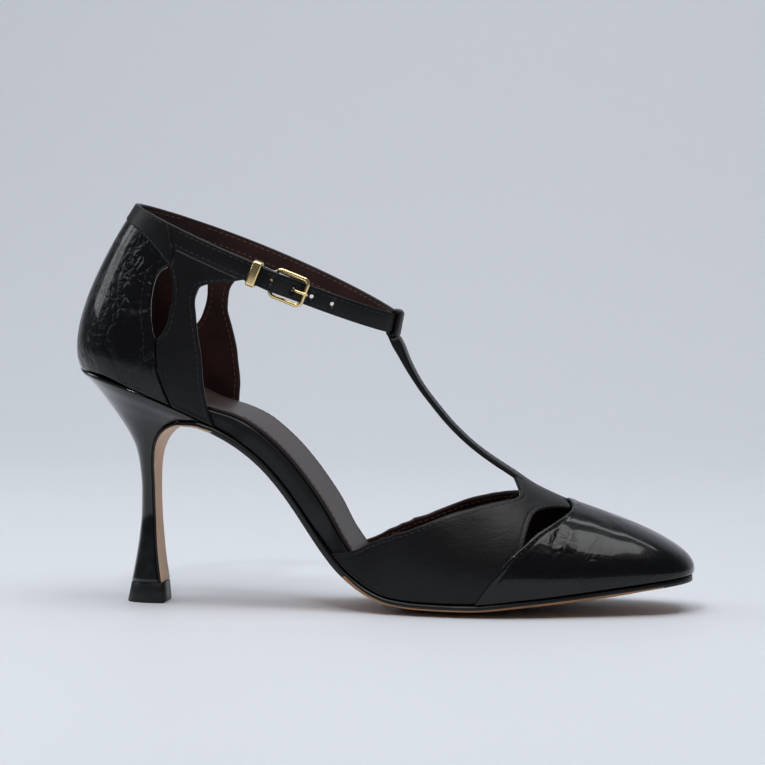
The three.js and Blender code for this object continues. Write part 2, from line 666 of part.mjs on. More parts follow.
// Upper edge of the toe cap: at is u, height is v
const capRows = [
  { at: 0, height: 1 },
  { at: 0.275, height: 1 },
  { at: 0.286, height: 0.93 },
  { at: 0.304, height: 0.84 },
  { at: 0.325, height: 0.765 },
  { at: 0.373, height: 0.648 },
  { at: 0.426, height: 0.528 },
  { at: 0.461, height: 0.448 },
  { at: 0.49, height: 0.366 },
  { at: 0.519, height: 0.291 },
  { at: 0.547, height: 0.209 },
  { at: 0.584, height: 0.098 },
  { at: 0.618, height: 0.004 },
];

function vampPatch(side, rows = 6) {
  return vampRows.map((r, i) =>
    range(rows).map((k) => {
      const free = i >= 7 ? seamGap : 0;
      return fore(side * mix(r.lowU + free, r.highU, k), mix(r.lowV, r.highV, k));
    }),
  );
}

// Outer face of the T-strap, from its foot on the ridge up to its loop. The first rows lie in the ridge: along is a
// share of the way from the foot to the loop. The others hang free between the two, up being a share of the rise.
const stemFoot = 0.7625 * shoeLength;
const stemSink = 0.5; // the foot lies this deep in the vamp, so that the two are one leather
const stemRows = [
  { along: 0, thick: 1.0, half: 1.3 * stemHalf },
  { along: 0.09, thick: 1.0, half: 1.25 * stemHalf },
  { along: 0.216, up: 0.122, thick: 1.0, half: 1.15 * stemHalf },
  { along: 0.336, up: 0.197, thick: 1.0, half: 1.08 * stemHalf },
  { along: 0.478, up: 0.298, thick: 1.0, half: 1.0 * stemHalf },
  { along: 0.62, up: 0.427, thick: 1.0, half: 1.0 * stemHalf },
  { along: 0.742, up: 0.567, thick: 1.0, half: 1.0 * stemHalf },
  { along: 0.845, up: 0.702, thick: 1.05, half: 1.0 * stemHalf },
  { along: 0.922, up: 0.84, thick: 1.4, half: 1.0 * stemHalf },
  { along: 0.971, up: 0.959, thick: 2.0, half: 1.0 * stemHalf },
];

const capColumns = [
  0, 0.04, 0.08, 0.12, 0.16, 0.2, 0.24, 0.275, 0.286, 0.304, 0.325, 0.373, 0.426, 0.461, 0.49, 0.519, 0.547, 0.584, 0.618,
];
const capHeight = column(capRows, "height");

function makeToeCap() {
  const patch = (side) => capColumns.map((u) => range(7).map((k) => fore(side * u, k * capHeight(u))));
  return shell([patch(1).reverse(), patch(-1)], upperWall, capStep);
}

// Ring of eight points round a strap's section, its long edges rounded
function strapRing(place, low, high, inner, outer) {
  const r = Math.min((outer - inner) * 0.35, 0.6);
  const section = [
    [low + r, inner],
    [low, inner + r],
    [low, outer - r],
    [low + r, outer],
    [high - r, outer],
    [high, outer - r],
    [high, inner + r],
    [high - r, inner],
  ];
  return section.map(([depth, height]) => place(depth, height));
}

// T-strap: sections square to its outer face
function makeStem() {
  const foot = new THREE.Vector3(stemFoot, 0, ridgeZ(stemFoot));
  const top = onLoop(0, strapWidth + gap + loopWall, gap + loopWall);
  const spots = stemRows.map((r) => {
    const x = mix(foot.x, top.x, r.along);
    return new THREE.Vector3(x, 0, r.up === undefined ? ridgeZ(x) - stemSink : mix(foot.z, top.z, r.up));
  });
  const rings = stemRows.map((row, i) => {
    const a = spots[Math.max(i - 1, 0)];
    const b = spots[Math.min(i + 1, spots.length - 1)];
    const t = b.clone().sub(a).normalize();
    const out = new THREE.Vector3(t.z, 0, -t.x);
    const place = (across, height) => spots[i].clone().addScaledVector(out, height).setY(across);
    return strapRing(place, -row.half, row.half, -row.thick * stemThickness, 0);
  });
  const front = onLoop(0, strapWidth + gap + 0.5 * loopWall, gap + 0.5 * loopWall);
  const rear = onLoop(0, strapWidth + gap + 0.5 * loopWall, -strapThickness - gap - 0.5 * loopWall);
  const span = rear.sub(front);
  const place = (across, height) => front.clone().addScaledVector(span, -height).setY(across);
  rings.push(strapRing(place, -stemHalf, stemHalf, -1, 0));
  return loft(rings);
}

// Closed band round a rectangle in the strap's section, at a list of lengths along the loop
function bandRing(length, low, high, inner, outer, wall, round, corners = 3) {
  const ring = (grow) => {
    const r = round + grow;
    const centres = [
      [low + round, inner + round, 180],
      [high - round, inner + round, 270],
      [high - round, outer - round, 0],
      [low + round, outer - round, 90],
    ];
    return centres.flatMap(([depth, height, start]) =>
      range(corners).map((k) => {
        const angle = degrees(start + 90 * k);
        return onLoop(length, depth + r * Math.cos(angle), height + r * Math.sin(angle));
      }),
    );
  };
  return { inner: ring(0), outer: ring(wall) };
}

// Tube of rectangular section: bands of rings along the loop, closed on itself
function makeBand(lengths, low, high, inner, outer, wall, round, corners) {
  const bands = lengths.map((l) => bandRing(l, low, high, inner, outer, wall, round, corners));
  const outside = bands.map((b) => b.outer);
  const inside = bands.map((b) => b.inner).reverse();
  const rows = [...outside, ...inside];
  const count = rows[0].length;
  const rings = Array.from({ length: count }, (_, i) => rows.map((row) => row[i]));
  return loft(rings, true);
}

function makeVamp() {
  const leather = shell([vampPatch(1).reverse(), vampPatch(-1)], upperWall);
  const lengths = range(4).map((k) => mix(-stemHalf, stemHalf, k));
  const loop = makeBand(lengths, -gap, strapWidth + gap, -strapThickness - gap, gap, loopWall, 0.3, 3);
  return join(leather, makeStem(), loop);
}

// Panels of the rear: the share of the way round at which each edge lies, by height. The inner quarter reaches
// further forward than the outer one.
const seamRows = [
  { at: 0, counter: 0.705, quarter: 0.71, front: 0.918, innerQuarter: 0.71, innerFront: 0.925 },
  { at: 0.08, counter: 0.673, quarter: 0.678, front: 0.893, innerQuarter: 0.678, innerFront: 0.925 },
  { at: 0.207, counter: 0.638, quarter: 0.643, front: 0.868, innerQuarter: 0.643, innerFront: 0.925 },
  { at: 0.376, counter: 0.62, quarter: 0.625, front: 0.847, innerQuarter: 0.625, innerFront: 0.9 },
  { at: 0.42, counter: 0.604, quarter: 0.642, front: 0.84, innerQuarter: 0.655, innerFront: 0.892 },
  { at: 0.54, counter: 0.575, quarter: 0.664, front: 0.812, innerQuarter: 0.7, innerFront: 0.854 },
  { at: 0.65, counter: 0.558, quarter: 0.664, front: 0.786, innerQuarter: 0.71, innerFront: 0.816 },
  { at: 0.766, counter: 0.55, quarter: 0.648, front: 0.762, innerQuarter: 0.695, innerFront: 0.807 },
  { at: 0.83, counter: 0.562, quarter: 0.622, front: 0.764, innerQuarter: 0.662, innerFront: 0.819 },
  { at: 0.875, counter: 0.588, quarter: 0.603, front: 0.79, innerQuarter: 0.62, innerFront: 0.845 },
  { at: 0.92, counter: 0.6, quarter: 0.606, front: 0.84, innerQuarter: 0.606, innerFront: 0.875 },
  { at: 0.96, counter: 0.6, quarter: 0.598, front: 0.888, innerQuarter: 0.598, innerFront: 0.9 },
  { at: 1.0, counter: 0.6, quarter: 0.588, front: 0.93, innerQuarter: 0.588, innerFront: 0.93 },
];
const counterEdge = column(seamRows, "counter");
const quarterEdges = {
  outer: { rear: column(seamRows, "quarter"), front: column(seamRows, "front") },
  inner: { rear: column(seamRows, "innerQuarter"), front: column(seamRows, "innerFront") },
};
// Collar: its lower edge by the share of the way round, and its front seam by height
const collarRows = [
  { at: 0, low: 1.04 },
  { at: 0.15, low: 1.02 },
  { at: 0.37, low: 0.975 },
  { at: 0.48, low: 0.938 },
  { at: 0.545, low: 0.9 },
  { at: 0.6, low: 0.868 },
];
const collarLow = column(collarRows, "low");
const collarSeamRows = [
  { at: 0.86, seam: 0.594 },
  { at: 0.92, seam: 0.6 },
  { at: 1.0, seam: 0.582 },
  { at: 1.1, seam: 0.568 },
  { at: 1.5, seam: 0.536 },
  { at: 2.0, seam: 0.49 },
];
const collarSeam = column(collarSeamRows, "seam");
const ribLength = 60; // length of a rear rib per unit of height just below the strap
const roundLength = 72; // length round the rear per unit of s, half way up

const quarterHeights = [
  0, 0.07, 0.14, 0.21, 0.29, 0.376, 0.4, 0.42, 0.48, 0.54, 0.6, 0.65, 0.71, 0.766, 0.8, 0.83, 0.855, 0.875, 0.9, 0.92,
  0.945, 0.97, 0.995,
];

function makeCounter() {
  const rows = range(10).map((q) =>
    range(24).map((k) => {
      const p = 2 * k - 1;
      const top = collarLow(Math.abs(p) * 0.588);
      const trim = top > 1 ? gap / strapWidth : gap / ribLength;
      const t = q * (top - trim);
      return rear(p * counterEdge(t), t);
    }),
  );
  return shell([rows], upperWall);
}

function makeCollar() {
  const rows = range(4).map((q) =>
    range(24).map((k) => {
      const p = 2 * k - 1;
      const low = collarLow(Math.abs(p) * 0.594);
      const t = low < 1 && q < 0.5 ? mix(low, 1, q / 0.6) : mix(low, 2, q);
      return rear(p * collarSeam(t), t);
    }),
  );
  return shell([rows], upperWall);
}

function makeQuarter(side) {
  const edges = side < 0 ? quarterEdges.outer : quarterEdges.inner;
  const rows = quarterHeights.map((t) =>
    range(6).map((k) => rear(side * mix(edges.rear(t), edges.front(t), k), t)),
  );
  return shell([rows], upperWall);
}

// Strip along the loop between two angles; the first end follows the collar's seam
function makeStrip(angles, heightAt, thickness) {
  const rings = angles.map((theta, i) => {
    const place = (depth, height) => {
      const t = 2 - depth / strapWidth;
      const slant = (collarSeam(clamp(t, 1, 2)) - collarSeam(1.5)) * rearSweep;
      const ease = (1 - i / (angles.length - 1)) ** 3;
      const f = loopFrame(theta + (theta > Math.PI ? -1 : 1) * slant * ease);
      return f.at.addScaledVector(f.down, depth).addScaledVector(f.out, height);
    };
    const outer = heightAt(theta);
    return strapRing(place, 0, strapWidth, outer - thickness, outer);
  });
  return loft(rings);
}

const seamAngle = (collarSeam(1.5) + gap / roundLength) * rearSweep;
const barAt = frontBarAt + buckleLength; // rear bar, which carries the buckle
const wrapWall = 0.8;
const runGap = 0.25; // round the rear bar
const middle = strapWidth / 2;
const rearBarHeight = -billetThickness / 2;
const frontBarHeight = gap + wireRadius;
const prongRing = wireRadius + runGap + prongRadius; // radius of the prong's ring round the bar

// Height of the ankle strap's outer face along the loop
const passOver = wireRadius + runGap + 2 * prongRadius + gap + strapThickness + rearBarHeight;
const strapRows = [
  { at: frontBarAt - 0.15 * buckleLength, height: 0 },
  { at: frontBarAt + 0.14 * buckleLength, height: 0 },
  { at: frontBarAt + 0.415 * buckleLength, height: 0.32 * passOver },
  { at: frontBarAt + 0.677 * buckleLength, height: 0.7 * passOver },
  { at: frontBarAt + 0.885 * buckleLength, height: 0.98 * passOver },
  { at: frontBarAt + 1.077 * buckleLength, height: passOver },
  { at: frontBarAt + 1.23 * buckleLength, height: 0.86 * passOver },
  { at: keeperAt - keeperWidth / 2, height: strapThickness + gap },
  { at: keeperAt + keeperWidth, height: strapThickness + gap },
];
const strapHeight = column(strapRows, "height");

const lengthOf = (theta) => {
  const t = (Math.abs(theta - Math.PI) / Math.PI) * loopSteps;
  const i = Math.min(Math.floor(t), loopSteps - 1);
  return Math.sign(theta - Math.PI) * mix(loopTable[i], loopTable[i + 1], t - i);
};

// A rod through points given along the loop: length, depth and height
function makeRod(path, radius, closed, sides = 8) {
  const n = path.length;
  const points = path.map(([length, depth, height]) => onLoop(length, depth, height));
  const rings = points.map((p, i) => {
    const a = points[closed ? (i + n - 1) % n : Math.max(i - 1, 0)];
    const b = points[closed ? (i + 1) % n : Math.min(i + 1, n - 1)];
    const t = b.clone().sub(a).normalize();
    const out = loopFrame(thetaAt(path[i][0])).out;
    const side = new THREE.Vector3().crossVectors(t, out).normalize();
    const lift = new THREE.Vector3().crossVectors(side, t);
    return Array.from({ length: sides }, (_, k) => {
      const angle = (2 * Math.PI * (k + 0.5)) / sides;
      const across = p.clone().addScaledVector(side, radius * Math.cos(angle));
      return across.addScaledVector(lift, radius * Math.sin(angle));
    });
  });
  return loft(rings, closed);
}

// Prong: from its ring on the rear bar, up through the strap and over the front bar. along is a share of the buckle's
// length, up a share of the prong's rise.
const prongRise = frontBarHeight + wireRadius + gap + prongRadius - rearBarHeight;
const prongRows = [
  { along: prongRing / buckleLength, up: 0 },
  { along: 0.32, up: 0 },
  { along: 0.49, up: 0 },
  { along: 0.62, up: 0.41 },
  { along: 0.72, up: 0.77 },
  { along: 0.85, up: 1 },
  { along: 1.1, up: 1 },
];
const prongPath = prongRows.map((r) => [barAt - r.along * buckleLength, middle, rearBarHeight + r.up * prongRise]);

// Ring in the plane of length and height, round the rear bar
function barRing(radius, steps = 16) {
  return Array.from({ length: steps }, (_, k) => {
    const angle = (2 * Math.PI * k) / steps;
    return [barAt + radius * Math.cos(angle), radius * Math.sin(angle) + rearBarHeight];
  });
}

function makeProng() {
  const rod = makeRod(prongPath, prongRadius, false);
  const ring = loft(
    barRing(prongRing, 14).map(([length, height], k, all) => {
      const angle = (2 * Math.PI * k) / all.length;
      return Array.from({ length: 8 }, (_, i) => {
        const turn = (2 * Math.PI * (i + 0.5)) / 8;
        const r = prongRadius * Math.cos(turn);
        const l = length + r * Math.cos(angle);
        return onLoop(l, middle + prongRadius * Math.sin(turn), height + r * Math.sin(angle));
      });
    }),
    true,
  );
  return join(rod, ring);
}

// Buckle frame: a rounded rectangle of wire, its front bar over the strap and its rear bar under it
function makeBuckleFrame() {
  const corners = [
    [frontBarAt + frameCorner, middle - buckleHalf + frameCorner, 180],
    [barAt - frameCorner, middle - buckleHalf + frameCorner, 270],
    [barAt - frameCorner, middle + buckleHalf - frameCorner, 0],
    [frontBarAt + frameCorner, middle + buckleHalf - frameCorner, 90],
  ];
  const path = corners.flatMap(([length, depth, start]) =>
    range(5).map((k) => {
      const angle = degrees(start + 90 * k);
      const l = length + frameCorner * Math.cos(angle);
      const height = mix(frontBarHeight, rearBarHeight, (l - frontBarAt) / buckleLength);
      return [l, depth + frameCorner * Math.sin(angle), height];
    }),
  );
  return makeRod(path, wireRadius, true);
}

// Billet: strip on the outer topline that ends in a loop round the buckle's rear bar
function makeBillet() {
  const start = 2 * Math.PI - seamAngle;
  const end = thetaAt(barAt + wireRadius + runGap + wrapWall / 2);
  const strip = makeStrip(range(12).map((k) => mix(start, end, k)), () => 0, billetThickness);
  const tube = (radius, low, high) =>
    loft([low, high].map((depth) => barRing(radius, 18).map(([length, height]) => onLoop(length, depth, height))));
  const outer = tube(wireRadius + runGap + wrapWall, 0.3, strapWidth - 0.3);
  const bore = tube(wireRadius + runGap, -1, strapWidth + 1);
  const slotHalf = prongRadius + gap;
  const slotReach = wireRadius + runGap + 2 * prongRadius + gap;
  const slot = tube(slotReach, middle - slotHalf, middle + slotHalf);
  return cut(join(strip, outer), bore, slot);
}

// Ankle strap: from the inner seam round the front, under the front bar, over the rear bar, into the keeper
function makeAnkleStrap() {
  const start = seamAngle;
  const end = thetaAt(keeperAt + keeperWidth / 2 + 0.6);
  const bend = thetaAt(strapRows[0].at);
  const angles = [
    ...range(26).map((k) => mix(start, bend, k)),
    ...range(16).slice(1).map((k) => mix(bend, end, k)),
  ];
  const strip = makeStrip(angles, (theta) => strapHeight(lengthOf(theta)), strapThickness);
  const hole = makeRod(prongPath.slice(1, 6), prongRadius + gap, false, 10);
  return cut(strip, hole);
}

function makeKeeper() {
  const lengths = range(2).map((k) => keeperAt + (k - 0.5) * keeperWidth);
  const low = -gap;
  const high = strapWidth + gap;
  const inner = -billetThickness - gap;
  const outer = strapThickness + 2 * gap;
  return makeBand(lengths, low, high, inner, outer, keeperWall, 0.3, 3);
}

// Materials
const finishOf = (color, roughness, metalness) => new THREE.MeshStandardMaterial({ color, roughness, metalness });
const calf = finishOf(0x1b1b1d, 0.5, 0);
const patent = finishOf(0x101012, 0.15, 0);
const lacquer = finishOf(0x131315, 0.2, 0);
const soleLeather = finishOf(0xb98f66, 0.55, 0);
const sockLeather = finishOf(0x6b5f57, 0.5, 0);
const rubber = finishOf(0x151515, 0.7, 0);
const gold = finishOf(0xd6ad55, 0.25, 1);

const nodes = [
  ["outsole", makeOutsole(), soleLeather],
  ["heel", makeHeel(), lacquer],
  ["heel_tip", makeHeelTip(), rubber],
  ["insole_board", makePlate(() => seatLift, (at) => seatLift + boardAt(at), insetAt, boardRound), calf],
  [
    "sock",
    makePlate(
      (at) => seatLift + boardAt(at) + gap,
      (at) => seatLift + boardAt(at) + gap + sockThickness,
      (at) => insetAt(at) + gap,
      sockRound,
    ),
    sockLeather,
  ],
  ["vamp", makeVamp(), calf],
  ["toe_cap", makeToeCap(), patent],
  ["counter", makeCounter(), patent],
  ["back_collar", makeCollar(), calf],
  ["quarter_outer", makeQuarter(-1), calf],
  ["quarter_inner", makeQuarter(1), calf],
  ["buckle_billet", makeBillet(), calf],
  ["ankle_strap", makeAnkleStrap(), calf],
  ["buckle_frame", makeBuckleFrame(), gold],
  ["buckle_prong", makeProng(), gold],
  ["keeper", makeKeeper(), gold],
];

// The finished shoe is centred over the origin and stands on the floor
const shoe = new THREE.Group();
for (const [name, geometry, material] of nodes) {
  const mesh = new THREE.Mesh(geometry, material);
  mesh.name = name;
  shoe.add(mesh);
}
const bounds = new THREE.Box3().setFromObject(shoe);
const centre = bounds.getCenter(new THREE.Vector3());
for (const mesh of shoe.children) mesh.position.set(-centre.x, -centre.y, -bounds.min.z);

export default shoe;
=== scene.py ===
import json
import math

import bpy
import numpy as np
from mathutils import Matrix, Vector
from mathutils.kdtree import KDTree

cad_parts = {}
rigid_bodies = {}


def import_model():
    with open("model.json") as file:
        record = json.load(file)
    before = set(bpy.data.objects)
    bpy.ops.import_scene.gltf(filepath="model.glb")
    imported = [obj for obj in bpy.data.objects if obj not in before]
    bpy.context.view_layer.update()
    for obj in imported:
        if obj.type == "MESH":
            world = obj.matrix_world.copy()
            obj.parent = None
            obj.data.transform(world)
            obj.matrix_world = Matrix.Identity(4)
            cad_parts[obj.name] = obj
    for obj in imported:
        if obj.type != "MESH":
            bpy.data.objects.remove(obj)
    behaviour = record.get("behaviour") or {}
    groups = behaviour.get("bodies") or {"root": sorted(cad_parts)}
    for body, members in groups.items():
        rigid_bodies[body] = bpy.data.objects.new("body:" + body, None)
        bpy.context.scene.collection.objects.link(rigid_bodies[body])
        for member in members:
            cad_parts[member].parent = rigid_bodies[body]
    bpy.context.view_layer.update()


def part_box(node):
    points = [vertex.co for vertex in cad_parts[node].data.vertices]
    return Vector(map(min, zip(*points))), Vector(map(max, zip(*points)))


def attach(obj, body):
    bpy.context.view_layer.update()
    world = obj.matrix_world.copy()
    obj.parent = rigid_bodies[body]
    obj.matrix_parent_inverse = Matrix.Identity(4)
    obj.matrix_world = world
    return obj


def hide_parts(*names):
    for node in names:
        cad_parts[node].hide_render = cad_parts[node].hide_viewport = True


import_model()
mm = 0.001

# The shoe's own frame: x from the back of the heel, y to the inner side, z up, in millimetres.
last = {
    "length": 240, "seatHeight": 92.4, "seatHalf": 26, "seatLength": 51, "heelRounding": 27,
    "waistOuter": 23.8, "waistInner": 18.2, "ballHalf": 36.8, "toeHalf": 20.5, "toeRounding": 16,
    "featherHeight": 4.7, "toeSpring": 9.5, "instepHeight": 60, "wall": 1.8, "gap": 0.3, "lift": 0.42,
    "sole": 2.3, "crown": 2.8,
}

# Its place in the row frame comes from two CAD nodes whose sizes are known.
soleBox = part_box("outsole")
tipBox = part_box("heel_tip")
shift = Vector((soleBox[1].x - last["length"] * mm, (tipBox[0].y + tipBox[1].y) / 2, 0))
print("shift", shift)


def toRow(points):
    return np.asarray(points, float) * mm + np.array(shift)


# camera
cameraSettings = {
    "azimuth": 8.0, "elevation": 3.2, "distance": 1200, "aim": (119.6, 0, 87.0), "focal": 2.57 * 1200,
    "frame": 765, "sensor": 36, "clip": (0.05, 30),
}


def makeCamera(s):
    az, el = math.radians(s["azimuth"]), math.radians(s["elevation"])
    back = Vector((math.sin(az) * math.cos(el), -math.cos(az) * math.cos(el), math.sin(el)))
    data = bpy.data.cameras.new("camera")
    data.sensor_width = s["sensor"]
    data.lens = s["sensor"] * s["focal"] / s["frame"]
    data.clip_start, data.clip_end = s["clip"]
    cam = bpy.data.objects.new("camera", data)
    cam.location = Vector(toRow(s["aim"])) + back * s["distance"] * mm
    cam.rotation_mode = "QUATERNION"
    cam.rotation_quaternion = (-back).to_track_quat("-Z", "Y")
    bpy.context.scene.collection.objects.link(cam)
    bpy.context.scene.camera = cam


makeCamera(cameraSettings)
print("camera done")


# node trees
class Wire:  # an output socket, for sums of masks and noises
    def __init__(self, look, socket):
        self.look, self.socket = look, socket

    def math(self, op, a, b):
        return self.look.node("ShaderNodeMath", {"operation": op}, {0: a, 1: b})

    def __add__(self, other):
        return self.math("ADD", self, other)

    def __radd__(self, other):
        return self.math("ADD", other, self)

    def __sub__(self, other):
        return self.math("SUBTRACT", self, other)

    def __rsub__(self, other):
        return self.math("SUBTRACT", other, self)

    def __mul__(self, other):
        return self.math("MULTIPLY", self, other)

    def __rmul__(self, other):
        return self.math("MULTIPLY", other, self)

    def step(self, low, high):  # smooth rise from 0 to 1
        sockets = {"Value": self, "From Min": low, "From Max": high}
        return self.look.node("ShaderNodeMapRange", {"interpolation_type": "SMOOTHSTEP"}, sockets)


class Look:  # one material's node tree
    def __init__(self, name):
        self.material = bpy.data.materials.new(name)
        self.material.use_nodes = True
        self.tree = self.material.node_tree
        self.tree.nodes.clear()
        self.shader = self.tree.nodes.new("ShaderNodeBsdfPrincipled")
        out = self.tree.nodes.new("ShaderNodeOutputMaterial")
        self.tree.links.new(self.shader.outputs[0], out.inputs["Surface"])

    def feed(self, slot, value):
        if isinstance(value, Wire):
            self.tree.links.new(value.socket, slot)
        elif value is not None:
            slot.default_value = value

    def node(self, kind, settings=None, sockets=None, out=0):  # settings first, then socket values or links
        node = self.tree.nodes.new(kind)
        for key, value in (settings or {}).items():
            setattr(node, key, value)
        for key, value in (sockets or {}).items():
            self.feed(node.inputs[key], value)
        return Wire(self, node.outputs[out])

    def place(self, stretch=(1, 1, 1)):  # object coordinates in millimetres
        spot = self.node("ShaderNodeTexCoord", out="Object")
        return self.node("ShaderNodeMapping", None, {"Vector": spot, "Scale": tuple(s / mm for s in stretch)})

    def noise(self, size, detail=2, rough=0.5, vector=None, out="Fac"):
        sockets = {"Vector": vector or self.place(), "Scale": 1 / size, "Detail": detail, "Roughness": rough}
        return self.node("ShaderNodeTexNoise", None, sockets, out)

    def cells(self, size, feature, vector, jitter=1.0):
        sockets = {"Vector": vector, "Scale": 1 / size, "Randomness": jitter}
        return self.node("ShaderNodeTexVoronoi", {"feature": feature}, sockets, "Distance")

    def vectorMath(self, op, a, b=None, out=0):
        return self.node("ShaderNodeVectorMath", {"operation": op}, {0: a, 1: b}, out)

    def warp(self, size, amount, stretch=(1, 1, 1)):  # places pushed about by noise
        base = self.place(stretch)
        push = self.vectorMath("SUBTRACT", self.noise(size, 2, 0.5, base, "Color"), (0.5, 0.5, 0.5))
        return self.vectorMath("ADD", base, self.vectorMath("MULTIPLY", push, (amount, amount, amount)))

    def near(self, spot, radius):  # one at a spot of either side, falling to nothing at the radius
        at = self.vectorMath("SUBTRACT", self.node("ShaderNodeTexCoord", out="Object"), tuple(shift))
        at = self.vectorMath("ABSOLUTE", at)
        far = self.vectorMath("DISTANCE", at, tuple(v * mm for v in spot), "Value")
        return 1 - far.step(radius * 0.3 * mm, radius * mm)

    def blend(self, a, b, factor):
        return self.node("ShaderNodeMix", {"data_type": "RGBA"}, {"Factor": factor, 6: a, 7: b}, 2)

    def bump(self, height, depth, normal=None):  # depth in millimetres for a height of one
        sockets = {"Height": height, "Distance": depth * mm, "Strength": 1.0, "Normal": normal}
        return self.node("ShaderNodeBump", None, sockets)

    def finish(self, color, rough, normal, shine, coat=0.0, coatRough=0.2, metal=0.0):
        values = {
            "Base Color": color, "Roughness": rough, "Normal": normal, "Specular IOR Level": shine,
            "Coat Weight": coat, "Coat Roughness": coatRough, "Metallic": metal,
        }
        for key, value in values.items():
            self.feed(self.shader.inputs[key], value)
        return self.material


def rgb(r, g, b):
    return (r, g, b, 1)


# materials: sizes of grain and depths of relief in millimetres
calf = {
    "pore": 0.8, "poreWarp": (2.5, 0.7), "fine": 0.35, "fold": 4.5, "foldStretch": (1, 1, 2.2), "patch": 22,
    "shine": 0.24, "coat": 0.09, "coatRough": 0.28,
}


def makeCalf(name="calf", base=0.0026, rough=0.42, grain=0.05, wrinkle=0.16):
    k = Look(name)
    pores = k.cells(calf["pore"], "SMOOTH_F1", k.warp(*calf["poreWarp"]))
    fine = k.noise(calf["fine"], 3)
    folds = k.noise(calf["fold"], 4, 0.6, k.place(calf["foldStretch"]))
    patches = k.noise(calf["patch"], 3)
    normal = k.bump(pores * 0.6 + fine * 0.35, grain, k.bump(folds, wrinkle))
    light = rgb(base * 1.7, base * 1.65, base * 1.75)
    tone = k.blend(rgb(base, base, base * 1.08), light, patches.step(0.4, 0.75))
    rough = rough + 0.12 * (patches - 0.5) + 0.06 * fine
    return k.finish(tone, rough, normal, calf["shine"], calf["coat"], calf["coatRough"])


patent = {
    "warp": (16, 7), "jitter": 0.9, "small": 0.24, "smallWarp": (6, 3), "ripple": 7, "wrinkle": 1.6,
    "rippleDepth": 0.3, "wrinkleDepth": 0.08, "smallDepth": 0.14, "rough": 0.2, "shine": 0.18, "coat": 0.42,
    "coatRough": 0.05, "grooveShade": rgb(0.001, 0.001, 0.0012), "plate": rgb(0.0028, 0.0028, 0.0033),
}


def makePatent(name, plate, crease, stretch, wave=1.0, crinkles=()):
    k = Look(name)
    edge = k.cells(plate, "DISTANCE_TO_EDGE", k.warp(*patent["warp"], stretch), patent["jitter"])
    plates = edge.step(0.0, 0.15)
    small = k.cells(plate * patent["small"], "DISTANCE_TO_EDGE", k.warp(*patent["smallWarp"], stretch))
    nearEdge = 1 - edge.step(0.03, 0.22)
    ripple = k.noise(patent["ripple"], 3, 0.55)
    wrinkles = k.noise(patent["wrinkle"], 4, 0.6, k.place((1, 1, 2)))
    normal = k.bump(ripple, patent["rippleDepth"] * wave)
    normal = k.bump(wrinkles, patent["wrinkleDepth"] * wave, normal)
    normal = k.bump(small.step(0.0, 0.2) * nearEdge, patent["smallDepth"] * wave, normal)
    normal = k.bump(plates, crease, normal)
    for spot, radius, depth, size in crinkles:
        lines = k.cells(size, "DISTANCE_TO_EDGE", k.warp(size * 1.2, size * 0.9)).step(0.0, 0.35)
        normal = k.bump(lines * k.near(spot, radius), depth, normal)
    # painted shade: the grooves between the croc plates take a darker copy of the plate tone
    tone = k.blend(patent["grooveShade"], patent["plate"], plates)
    rough = patent["rough"] + 0.1 * nearEdge + 0.08 * (ripple - 0.5)
    return k.finish(tone, rough, normal, patent["shine"], patent["coat"], patent["coatRough"])


def makeLacquer():
    k = Look("lacquer")
    ripple = k.noise(9, 2, 0.5, k.place((1, 1, 0.5)))
    scuff = k.noise(2.2, 5, 0.7)
    rough = 0.16 + 0.1 * scuff.step(0.5, 0.8)
    return k.finish(rgb(0.002, 0.002, 0.0023), rough, k.bump(ripple, 0.35), 0.35, 0.5, 0.08)


# spread is how far the tone wanders from the colour
def makePlain(name, color, rough, grain=0.03, size=0.6, spread=0.12, coat=0.0, metal=0.0, shine=0.4):
    k = Look(name)
    patches = k.noise(14, 4)
    dark = rgb(*(c * (1 - spread) for c in color))
    light = rgb(*(min(c * (1 + spread), 1) for c in color))
    tone = k.blend(dark, light, patches.step(0.3, 0.7))
    rough = rough + 0.08 * (patches - 0.5)
    return k.finish(tone, rough, k.bump(k.noise(size, 3), grain), shine, coat, 0.2, metal)


